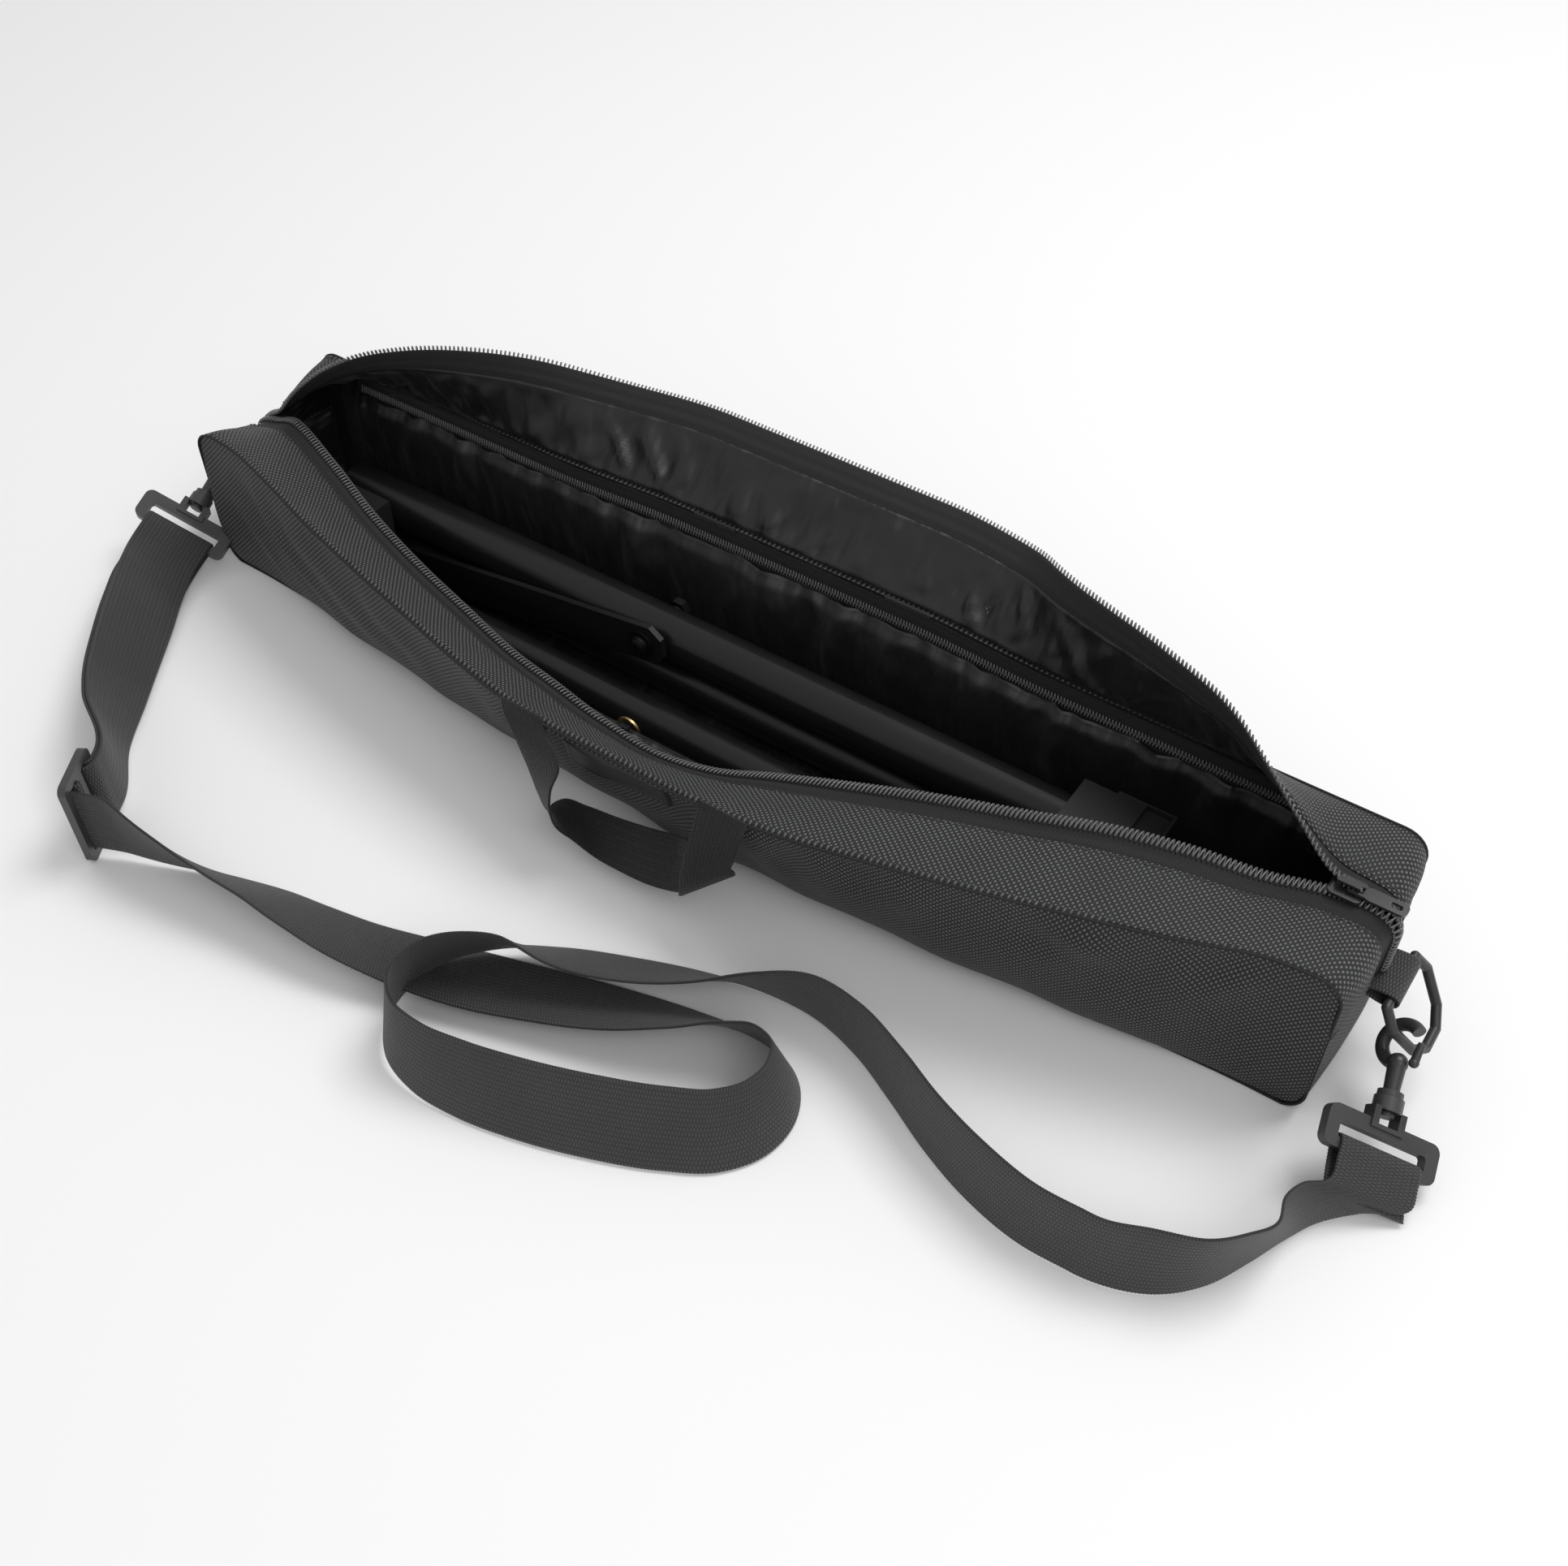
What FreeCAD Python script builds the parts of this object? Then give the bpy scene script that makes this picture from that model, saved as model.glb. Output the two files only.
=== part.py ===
import FreeCAD, Part
import math
import os
from FreeCAD import Matrix, Placement, Rotation, Vector

# Long soft carrying bag with a zipped mouth, shown open, with a folded metal stand inside.
# Millimetres. X runs along the bag, Y from front to back, Z up. Origin: centre of the base.

# ---- driving dimensions ------------------------------------------------------------------------
LENGTH = 630.0
WIDTH = 90.0
HEIGHT = 85.0
CLOTH = 2.0               # outer cloth, padding and lining together
WEBBING = 38.0            # shoulder strap width
WEB_THICK = 1.6
HANDLE_WEB = 25.0         # carrying handle width
TUBE_R = 12.5             # main post of the stand
LEG_R = 10.5              # thinner tubes of the stand
TUBE_WALL = 1.5
BOLT_R = 3.0
RUNNING = 0.05            # radial clearance of a turning fit

# ---- derived places ----------------------------------------------------------------------------
HALF = LENGTH / 2
SEAM = WIDTH / 2          # half the distance between the two top seams
SEAM_TOP = HEIGHT
WALL_FOOT = 4.0
GUSSET_SPLIT = HEIGHT / 2  # top and bottom gussets meet half-way down each end
ZIP_HALF_GAP = 1.6        # from the centre line to a closed coil
TAPE_INNER = 5.0
GUSSET_INNER = 9.0        # cloth of a gusset half stops here, beside the zip tape
MIDDLE = 112.0            # the stiff stand-in for a moving side reaches this far from the centre
GAP = 1.0

# ---- the mouth ---------------------------------------------------------------------------------
# Each side of the mouth turns about a fixed axis along X. The turn fades to nothing towards the
# ends of the bag, so that each side is straight when closed and bows when open.
WALL_PIVOT = (-53.0, -22.2)
WALL_OPEN = 30.5
FLAP_PIVOT = (-103.31, 237.03)
FLAP_OPEN = -20.0
BACK_PIVOT = (SEAM, SEAM_TOP)
BACK_OPEN = -130.0
WALL_FADE = (320.0, 60.0)
BACK_FADE = (318.0, 110.0)
ZIP_DIP = 10.0            # the closed zip runs this much lower at the left end than at the right


def share(x, fade):
    """How far a section at x has turned: 0 at the ends of the bag, 1 in the middle."""
    start, full = fade
    t = max(0.0, min(1.0, (start - abs(x)) / (start - full)))
    return t * t * (3 - 2 * t)


def turned(y, z, pivot, degrees):
    """A point of the Y-Z plane turned about pivot."""
    a = math.radians(degrees)
    dy = y - pivot[0]
    dz = z - pivot[1]
    return (pivot[0] + dy * math.cos(a) - dz * math.sin(a),
            pivot[1] + dy * math.sin(a) + dz * math.cos(a))


def on_front_wall(x, y, z):
    return Vector(x, *turned(y, z, WALL_PIVOT, WALL_OPEN * share(x, WALL_FADE)))


def on_front_flap(x, y, z):
    return Vector(x, *turned(y, z, FLAP_PIVOT, FLAP_OPEN * share(x, WALL_FADE)))


def on_back_flap(x, y, z):
    return Vector(x, *turned(y, z, BACK_PIVOT, BACK_OPEN * share(x, BACK_FADE)))


def dipped(x, y, z):
    """Height of a point of the closed top, lowered towards the zip and towards the left end."""
    return z - ZIP_DIP * (0.5 - x / LENGTH) * (1 - abs(y) / SEAM)


# ---- helpers -----------------------------------------------------------------------------------
def box(x0, x1, y0, y1, z0, z1):
    return Part.makeBox(x1 - x0, y1 - y0, z1 - z0, Vector(x0, y0, z0))


def ruled_solid(wires):
    """A closed solid through a row of closed wires."""
    loft = Part.makeLoft(wires, True, True)
    return loft if loft.ShapeType == "Solid" else loft.Solids[0]


def closed_wire(points):
    return Part.makePolygon(list(points) + [points[0]])


def sheet(stations, outline, mapping):
    """A strip of cloth: one Y-Z outline in the closed bag, carried to each station by mapping."""
    wires = [closed_wire([mapping(x, y, dipped(x, y, z)) for y, z in outline]) for x in stations]
    return ruled_solid(wires)


def rectangle(y0, y1, z0, z1):
    return [(y0, z0), (y1, z0), (y1, z1), (y0, z1)]


def stations(start, end, count):
    return [start + (end - start) * i / (count - 1) for i in range(count)]


def tube(start, end, radius, wall):
    """A round tube between two points, open at both ends."""
    axis = end - start
    outer = Part.makeCylinder(radius, axis.Length, start, axis)
    inner = Part.makeCylinder(radius - wall, axis.Length, start, axis)
    return outer.cut(inner)


def rounded_plate(width, height, thick, radius):
    """A plate in the local X-Y plane, centred on the origin, with rounded corners."""
    plate = Part.makeBox(width, height, thick, Vector(-width / 2, -height / 2, -thick / 2))
    upright = [e for e in plate.Edges
               if abs(e.Vertexes[0].Z - e.Vertexes[1].Z) > thick / 2]
    return plate.makeFillet(radius, upright)


def placed(shape, origin, x_axis, y_axis):
    """The shape moved so that its local X and Y lie along the given directions."""
    x_axis = Vector(x_axis).normalize()
    z_axis = x_axis.cross(Vector(y_axis)).normalize()
    y_axis = z_axis.cross(x_axis)
    m = Matrix(x_axis.x, y_axis.x, z_axis.x, origin.x,
               x_axis.y, y_axis.y, z_axis.y, origin.y,
               x_axis.z, y_axis.z, z_axis.z, origin.z,
               0, 0, 0, 1)
    moved = shape.copy()
    moved.Placement = Placement(m).multiply(shape.Placement)
    return moved


def band(path, width, thick):
    """Flat webbing through (x, y, lower z, lean) points; lean 0 stands on edge, 90 lies flat."""
    wires = []
    for i, (x, y, z, lean) in enumerate(path):
        before = path[max(i - 1, 0)]
        after = path[min(i + 1, len(path) - 1)]
        along = Vector(after[0] - before[0], after[1] - before[1], 0).normalize()
        side = Vector(-along.y, along.x, 0)
        a = math.radians(lean)
        up = Vector(0, 0, math.cos(a)) + side * math.sin(a)
        across = along.cross(up) * (thick / 2)
        foot = Vector(x, y, z)
        top = foot + up * width
        wires.append(closed_wire([foot - across, foot + across, top + across, top - across]))
    return ruled_solid(wires)


def mirrored_x(shape):
    return shape.mirror(Vector(0, 0, 0), Vector(1, 0, 0))


nodes = {}


# ---- bag cloth ---------------------------------------------------------------------------------
def bottom_gusset():
    """Base strip, bent up at both ends to half the height of the bag."""
    bow = 16.0
    spans = stations(-HALF, HALF, 15)
    lower = []
    for x in spans:
        front = -SEAM - bow * share(x, WALL_FADE)
        lower.append(closed_wire([Vector(x, front, 0), Vector(x, SEAM, 0),
                                  Vector(x, SEAM, CLOTH), Vector(x, front, CLOTH)]))
    base = ruled_solid(lower)
    edge = SEAM - CLOTH - GAP
    for side in (-1, 1):
        x_in = side * (HALF - CLOTH)
        x_out = side * HALF
        base = base.fuse(box(min(x_in, x_out), max(x_in, x_out), -edge, edge, 0, GUSSET_SPLIT))
    return base.removeSplitter()


def end_gusset():
    """Right-hand upper half of an end: the top gusset turned down over the end of the bag."""
    edge = SEAM - CLOTH - GAP
    plate = box(HALF - CLOTH, HALF, -edge, edge, GUSSET_SPLIT + 0.5, SEAM_TOP - 1)
    lip = box(HALF - 8, HALF, -edge, edge, SEAM_TOP - 1 - CLOTH, SEAM_TOP - 1)
    shell = plate.fuse(lip).removeSplitter()
    corner = [e for e in shell.Edges
              if min(v.X for v in e.Vertexes) > HALF - 0.01
              and min(v.Z for v in e.Vertexes) > SEAM_TOP - 1.01]
    return shell.makeFillet(1.8, corner)


wall_outline = rectangle(-SEAM, -SEAM + CLOTH, WALL_FOOT, SEAM_TOP)
front_flap_outline = rectangle(-SEAM + CLOTH + 6.5, -GUSSET_INNER, SEAM_TOP - CLOTH, SEAM_TOP)
back_flap_outline = rectangle(GUSSET_INNER, SEAM - 1.0, SEAM_TOP + 0.4, SEAM_TOP + 0.4 + CLOTH)
middle = stations(-MIDDLE, MIDDLE, 7)
right_end = stations(MIDDLE + GAP, HALF - CLOTH - 8, 5)

nodes["bottom_gusset"] = bottom_gusset()
nodes["end_gusset_right"] = end_gusset()
nodes["end_gusset_left"] = mirrored_x(end_gusset())
nodes["back_panel"] = box(-HALF, HALF, SEAM - CLOTH, SEAM, WALL_FOOT, SEAM_TOP)


def both_ends(outline, mapping):
    right = sheet(right_end, outline, mapping)
    return Part.makeCompound([right, mirrored_x(right)])


nodes["front_panel"] = sheet(middle, wall_outline, on_front_wall)
nodes["front_panel_ends"] = both_ends(wall_outline, on_front_wall)
nodes["front_gusset"] = sheet(middle, front_flap_outline, on_front_flap)
nodes["front_gusset_ends"] = both_ends(front_flap_outline, on_front_flap)
nodes["back_gusset"] = sheet(middle, back_flap_outline, on_back_flap)
nodes["back_gusset_ends"] = both_ends(back_flap_outline, on_back_flap)

# ---- main zip: a woven tape and a coil on each side --------------------------------------------
tape_z = SEAM_TOP - 1.2
nodes["front_zip_tape"] = sheet(middle, rectangle(-GUSSET_INNER + 0.2, -TAPE_INNER, tape_z, tape_z + 0.7),
                                on_front_flap)
nodes["front_zip_coil"] = sheet(middle, rectangle(-TAPE_INNER + 0.1, -ZIP_HALF_GAP, tape_z, tape_z + 1.8),
                                on_front_flap)
nodes["back_zip_tape"] = sheet(middle, rectangle(TAPE_INNER, GUSSET_INNER - 0.2, tape_z, tape_z + 0.7),
                               on_back_flap)
nodes["back_zip_coil"] = sheet(middle, rectangle(ZIP_HALF_GAP, TAPE_INNER - 0.1, tape_z, tape_z + 1.8),
                               on_back_flap)

# ---- main slider and pull ----------------------------------------------------------------------
SLIDER_X = 296.0
SLIDER_LENGTH = 14.0
SLIDER_WIDTH = 12.0
PLATE = 1.4


def slider(length, width, plate, height):
    """Two rounded plates joined by a narrow post, with a bridge on top; local X along the zip."""
    top = rounded_plate(length, width, plate, 2.5)
    top.translate(Vector(0, 0, height / 2))
    low = rounded_plate(length, width * 0.8, plate, 2.5)
    low.translate(Vector(0, 0, -height / 2))
    post = rounded_plate(length * 0.3, 2.0, height, 0.6)
    post.translate(Vector(-length * 0.3, 0, 0))
    bridge = box(-length * 0.34, length * 0.34, -1.5, 1.5, height / 2, height / 2 + 4.2)
    eye = box(-length * 0.22, length * 0.22, -2, 2, height / 2 + plate / 2, height / 2 + 3.0)
    return top.fuse([low, post, bridge.cut(eye)]).removeSplitter()


def pull(length, width, thick):
    """A flat pull along local +X, with two arms and a cross bar at its pivot and a slot in the tab."""
    tab = rounded_plate(length, width, thick, width * 0.4)
    tab.translate(Vector(length / 2 + 5.4, 0, 0))
    slot = rounded_plate(length * 0.3, width * 0.4, thick * 3, width * 0.18)
    slot.translate(Vector(length * 0.72 + 5.4, 0, 0))
    arms = [box(-0.6, 7.0, 1.75, 2.9, -thick / 2, thick / 2),
            box(-0.6, 7.0, -2.9, -1.75, -thick / 2, thick / 2)]
    bar = Part.makeCylinder(0.6, 5.6, Vector(0, -2.8, 0), Vector(0, 1, 0))
    return tab.cut(slot).fuse(arms + [bar]).removeSplitter()


zip_top = dipped(SLIDER_X, 0, tape_z) + 0.9
main_slider = slider(SLIDER_LENGTH, SLIDER_WIDTH, PLATE, 4.4)
main_slider.translate(Vector(SLIDER_X, 0, zip_top))
nodes["zip_slider"] = main_slider
PULL_PIVOT = Vector(SLIDER_X + 1.0, 0, zip_top + 2.2 + 1.9)
nodes["zip_pull"] = placed(pull(18.0, 7.0, 1.2), PULL_PIVOT, Vector(1, 0, 0.0), Vector(0, 1, 0))

# ---- inner pocket with its own zip -------------------------------------------------------------
POCKET_X = 285.0
POCKET_Y = SEAM - CLOTH
nodes["pocket_panel"] = box(-POCKET_X, POCKET_X, POCKET_Y - 2.6, POCKET_Y - 1.2, 12, 70)
nodes["pocket_zip"] = box(-POCKET_X, POCKET_X, POCKET_Y - 3.0, POCKET_Y - 1.2, 70.3, 79)
pocket_slider = rounded_plate(10.0, 8.0, 1.2, 2.0)
nodes["pocket_slider"] = placed(pocket_slider, Vector(POCKET_X - 12, POCKET_Y - 4.0, 74.6),
                                Vector(1, 0, 0), Vector(0, 0, 1))
POCKET_PIVOT = Vector(POCKET_X - 12, POCKET_Y - 5.6, 74.6)
nodes["pocket_pull"] = placed(pull(13.0, 6.0, 1.0), POCKET_PIVOT, Vector(0, 0, -1), Vector(1, 0, 0))

# ---- shoulder strap hardware -------------------------------------------------------------------
TAB_Z = 50.0
RING_BAR = Vector(HALF + 13.0, 0, TAB_Z)
RING_ROD = 2.2


def ring_tab():
    """Folded webbing sewn to the end of the bag and looped round the ring's straight bar."""
    reach = RING_BAR.x - HALF
    loop_r = RING_ROD + 0.25
    strip = box(HALF + 0.3, HALF + reach, -HANDLE_WEB / 2, HANDLE_WEB / 2,
                TAB_Z - loop_r - 1.2, TAB_Z + loop_r + 1.2)
    eye = Part.makeCylinder(loop_r + 1.2, HANDLE_WEB, Vector(RING_BAR.x, -HANDLE_WEB / 2, TAB_Z),
                            Vector(0, 1, 0))
    hole = Part.makeCylinder(loop_r, HANDLE_WEB + 2,
                             Vector(RING_BAR.x, -HANDLE_WEB / 2 - 1, TAB_Z), Vector(0, 1, 0))
    return strip.fuse(eye).cut(hole).removeSplitter()


def hex_ring():
    """Six-sided ring in the local X-Y plane: a straight bar at X = 0, the far side at +X."""
    half = 19.0
    depth = 31.0
    corners = [(0, -half * 0.82), (depth * 0.3, -half), (depth * 0.8, -half * 0.72),
               (depth, -half * 0.3), (depth, half * 0.3), (depth * 0.8, half * 0.72),
               (depth * 0.3, half), (0, half * 0.82)]
    rods = []
    for i, (x, y) in enumerate(corners):
        a = Vector(x, y, 0)
        b = Vector(*corners[(i + 1) % len(corners)], 0)
        rods.append(Part.makeCylinder(RING_ROD, (b - a).Length, a, b - a))
        rods.append(Part.makeSphere(RING_ROD, a))
    return rods[0].fuse(rods[1:]).removeSplitter()


EYE_R = 8.5
HOOK_ROD = 2.8
SHANK = 21.0
PIN_R = 2.4
GATE_PIVOT = (-EYE_R + 1.5, -EYE_R + 1.0)
GATE_TIP = (-EYE_R - 0.2, 0.8)


def hook_body():
    """Snap hook: a bent jaw round the eye at the origin, a shank and a swivel pin along -Y."""
    jaw = Part.makeTorus(EYE_R, HOOK_ROD, Vector(0, 0, 0), Vector(0, 0, 1), -180, 180, 215)
    jaw.rotate(Vector(0, 0, 0), Vector(0, 0, 1), -75)
    shank = Part.makeCone(HOOK_ROD * 1.35, HOOK_ROD * 1.15, SHANK - EYE_R + 0.5,
                          Vector(0, -EYE_R + 1.0, 0), Vector(0, -1, 0))
    shoulder = Part.makeSphere(HOOK_ROD * 1.5, Vector(0, -EYE_R + 0.4, 0))
    flange = Part.makeCylinder(5.2, 2.4, Vector(0, -SHANK + 0.6, 0), Vector(0, -1, 0))
    pin = Part.makeCylinder(PIN_R, 9.0, Vector(0, -SHANK - 1.0, 0), Vector(0, -1, 0))
    head = Part.makeCylinder(3.4, 1.6, Vector(0, -SHANK - 8.4, 0), Vector(0, -1, 0))
    notch = Part.makeCylinder(2.5, 12, Vector(*GATE_PIVOT, -6), Vector(0, 0, 1))
    return jaw.fuse([shank, shoulder, flange, pin, head]).cut(notch).removeSplitter()


def hook_gate():
    """Sprung tongue that closes the jaw, from its pivot beside the shank to the jaw's tip."""
    root = Vector(GATE_PIVOT[0], GATE_PIVOT[1], 0)
    tip = Vector(*GATE_TIP, 0)
    rod = Part.makeCone(1.9, 1.5, (tip - root).Length, root, tip - root)
    return rod.fuse(Part.makeSphere(2.1, root)).removeSplitter()


def hook_base():
    """Swivel collar and the slotted frame that holds the strap, below the hook's shank."""
    collar = Part.makeCylinder(6.0, 6.0, Vector(0, -SHANK - 2.1, 0), Vector(0, -1, 0))
    neck = Part.makeBox(15, 9, 7, Vector(-7.5, -SHANK - 16.0, -3.5))
    frame = rounded_plate(52.0, 17.0, 5.0, 4.0)
    slot = rounded_plate(WEBBING + 2.5, 6.4, 9.0, 1.5)
    slot.translate(Vector(0, -1.2, 0))
    frame = frame.cut(slot)
    frame.translate(Vector(0, -SHANK - 21.0, 0))
    bore = Part.makeCylinder(PIN_R + 0.05, 14.0, Vector(0, -SHANK, 0), Vector(0, -1, 0))
    well = Part.makeBox(9.0, 6.5, 9.0, Vector(-4.5, -SHANK - 14.2, -4.5))
    return collar.fuse([neck, frame]).cut(bore).cut(well).removeSplitter()


RING_DIP = math.radians(52)
ring_down = Vector(math.cos(RING_DIP), 0, -math.sin(RING_DIP))
ring_right = placed(hex_ring(), RING_BAR, ring_down, Vector(0, 1, 0))
nodes["ring_tab_right"] = ring_tab()
nodes["ring_tab_left"] = mirrored_x(ring_tab())
nodes["ring_right"] = ring_right
nodes["ring_left"] = mirrored_x(ring_right)

SLOT_OFFSET = SHANK + 22.2          # from the eye to the middle of the strap slot


class HookPlace:
    """Where a hook hangs: eye, direction of the shank, and the long sides of hook and frame."""

    def __init__(self, rod_centre, rod, down, frame_wide):
        self.down = Vector(down).normalize()
        self.eye = rod_centre + self.down * 1.5
        self.wide = rod.cross(self.down).normalize()
        wide = Vector(frame_wide)
        self.frame_wide = (wide - self.down * wide.dot(self.down)).normalize()
        self.slot = self.eye + self.down * SLOT_OFFSET

    def hook(self, shape):
        return placed(shape, self.eye, self.wide, self.down * -1)

    def frame(self, shape):
        return placed(shape, self.eye, self.frame_wide, self.down * -1)


# the hook hangs on the ring's slanted front rod
ROD_MIDDLE = (17.05, -16.35)
ROD_ALONG = (15.5, 5.3)
rod_right = RING_BAR + ring_down * ROD_MIDDLE[0] + Vector(0, ROD_MIDDLE[1], 0)
rod_dir = (ring_down * ROD_ALONG[0] + Vector(0, ROD_ALONG[1], 0)).normalize()
hook_right = HookPlace(rod_right, rod_dir, (0.22, -0.90, -0.37), (0.76, 0.45, -0.36))
hook_left = HookPlace(Vector(-rod_right.x, rod_right.y, rod_right.z),
                      Vector(-rod_dir.x, rod_dir.y, rod_dir.z), (0.11, -0.90, -0.34),
                      (0.88, 0.19, -0.43))


def strap_fold():
    """End of the strap folded round the frame's outer bar and stitched to itself."""
    bar_y = -SHANK - 21.0 - 6.45
    outer = [(4.2, 0), (3.0, 3.6), (-3.4, 4.5), (-16.0, 1.9), (-16.0, -1.9), (-3.4, -4.5), (3.0, -3.6)]
    face = Part.Face(closed_wire([Vector(-WEBBING / 2, bar_y + y, z) for y, z in outer]))
    fold = face.extrude(Vector(WEBBING, 0, 0))
    return fold.cut(Part.makeBox(WEBBING + 2, 4.9, 5.4, Vector(-WEBBING / 2 - 1, bar_y - 2.45, -2.7)))


for side, place in (("right", hook_right), ("left", hook_left)):
    nodes["hook_" + side] = place.hook(hook_body())
    nodes["hook_gate_" + side] = place.hook(hook_gate())
    nodes["hook_base_" + side] = place.frame(hook_base())
    nodes["strap_fold_" + side] = place.frame(strap_fold())

# ---- shoulder strap, lying in a loop on the ground ---------------------------------------------
GLIDE = Vector(-209.0, -226.0, 0)
strap_run = [
    (-200, -229, 0.6, 0), (-178, -222, 0.6, -10), (-155, -213, 0.6, -26), (-133, -205, 0.8, -38),
    (-112, -199, 1.0, -46), (-90, -195, 1.2, -54), (-66, -190, 1.2, -63), (-40, -182, 1.2, -72),
    (-12, -173, 1.2, -76), (20, -163, 1.2, -72), (50, -154, 1.0, -64), (78, -147, 1.0, -50),
    (102, -143, 0.8, -34), (122, -144, 0.6, -22), (138, -152, 0.6, -18), (147, -168, 0.6, -20),
    (146, -187, 0.6, -24), (135, -204, 0.6, -28), (115, -217, 0.6, -30), (88, -229, 0.6, -30),
    (58, -239, 0.6, -28), (30, -245, 0.8, -24), (8, -246, 1.8, -18), (-12, -240, 3.5, -12),
    (-24, -226, 5.0, -10),
]
strap_rise = [
    (-27, -208, 6.0, -14), (-22, -188, 6.0, -26), (-8, -170, 5.5, -42), (14, -154, 4.0, -64),
    (42, -140, 2.5, -74), (72, -128, 1.5, -60), (100, -121, 1.0, -34), (126, -120, 0.6, -10),
    (150, -126, 0.6, 0), (174, -137, 0.6, 4), (198, -149, 0.6, 6), (222, -158, 0.6, 8),
    (248, -163, 0.6, 8), (274, -161, 0.6, 8), (298, -153, 0.6, 6), (318, -139, 0.6, 4),
    (333, -121, 0.8, 8), (346, -107, 2.5, 26), (354, -95, 5.0, 42),
]
nodes["shoulder_strap"] = band(strap_run + strap_rise, WEBBING, WEB_THICK)

# the strap between the left hook and the tri-glide lies two layers deep
strap_left = [(-299, -88, 5.0, -58), (-287, -101, 3.2, -58), (-274, -115, 1.9, -58),
              (-261, -132, 1.7, -56), (-249, -152, 1.6, -50), (-238, -172, 1.3, -38),
              (-229, -188, 1.0, -22), (-224, -198, 0.8, -12)]
nodes["strap_double"] = band(strap_left, WEBBING, WEB_THICK * 2)


def tri_glide():
    """Three-bar slider standing on edge: two openings either side of a middle bar."""
    plate = rounded_plate(WEBBING + 11, 30.0, 3.6, 4.0)
    for side in (-1, 1):
        opening = rounded_plate(WEBBING + 1.5, 8.0, 8.0, 1.5)
        opening.translate(Vector(0, side * 7.0, 0))
        plate = plate.cut(opening)
    return plate


glide_along = Vector(0.52, -0.86, 0)
nodes["tri_glide"] = placed(tri_glide(), GLIDE + Vector(0, 0, (WEBBING + 11) / 2 + 0.4),
                            Vector(0, 0, 1), glide_along)

# ---- carrying handles --------------------------------------------------------------------------
HANDLE_SPAN = 104.0
HANDLE_MID = 10.0
HANDLE_STEPS = 12


def handle(top, outward, drop, reach):
    """A hanging webbing loop: two legs from the seam and a curved grip, as one flat band."""
    line = []
    for i in range(HANDLE_STEPS + 1):
        t = -1 + 2 * i / HANDLE_STEPS
        sag = math.sqrt(1 - t * t)
        line.append(Vector(HANDLE_MID + t * HANDLE_SPAN / 2, top.y + outward * (3 + reach * sag),
                           top.z - 3 - drop * sag))
    normal = Vector(0, outward * drop, -reach).normalize()
    wires = []
    for i, centre in enumerate(line):
        along = line[min(i + 1, HANDLE_STEPS)] - line[max(i - 1, 0)]
        across = along.cross(normal).normalize() * (HANDLE_WEB / 2)
        thick = normal * (WEB_THICK / 2)
        wires.append(closed_wire([centre - across - thick, centre + across - thick,
                                  centre + across + thick, centre - across + thick]))
    return ruled_solid(wires)


front_seam_top = on_front_wall(0, -SEAM, SEAM_TOP)
nodes["front_handle"] = handle(front_seam_top, -1, 42, 4)
nodes["back_handle"] = handle(Vector(0, SEAM, SEAM_TOP - 8), 1, 42, 4)

# ---- blank rubber patch on the front panel, between the handle's legs ---------------------------
patch_outline = rectangle(-SEAM - 1.4, -SEAM - 0.1, SEAM_TOP - 22, SEAM_TOP - 4)
nodes["patch"] = sheet(stations(-25, 31, 3), patch_outline, on_front_wall)

# ---- the folded stand --------------------------------------------------------------------------
POST_Y = 9.0
POST_Z = 39.0
POST_LEFT = -262.0
POST_RIGHT = 184.0
nodes["stand_post"] = tube(Vector(POST_LEFT, POST_Y, POST_Z), Vector(POST_RIGHT, POST_Y, POST_Z),
                           TUBE_R, TUBE_WALL)
LOWER_Z = 13.0
REAR_LEG_Y = 8.0
FRONT_LEG_Y = -25.0
LEG_PIVOT_X = -238.0
rear_leg = tube(Vector(POST_LEFT, REAR_LEG_Y, LOWER_Z), Vector(205, REAR_LEG_Y, LOWER_Z),
                LEG_R, TUBE_WALL)


def cross_hole(x, z):
    """Clearance hole along Y for a bolt of the stand."""
    return Part.makeCylinder(BOLT_R + RUNNING, 120, Vector(x, -60, z), Vector(0, 1, 0))


nodes["rear_leg"] = rear_leg.cut(cross_hole(LEG_PIVOT_X, LOWER_Z))
front_leg = tube(Vector(-252, FRONT_LEG_Y, LOWER_Z), Vector(118, FRONT_LEG_Y, LOWER_Z),
                 LEG_R, TUBE_WALL)
BOLT_X = -42.0
# the left end of the front leg is rounded about its pivot, so that it clears the base as it swings
end_block = box(-260, LEG_PIVOT_X, FRONT_LEG_Y - 12, FRONT_LEG_Y + 12, 0, 30)
end_axis = Vector(LEG_PIVOT_X, FRONT_LEG_Y - 12, LOWER_Z)
end_round = Part.makeCylinder(LEG_R + 0.1, 24, end_axis, Vector(0, 1, 0))
front_leg = front_leg.cut(end_block.cut(end_round))
nodes["front_leg"] = front_leg.cut(cross_hole(LEG_PIVOT_X, LOWER_Z)).cut(cross_hole(BOLT_X, LOWER_Z))


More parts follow.
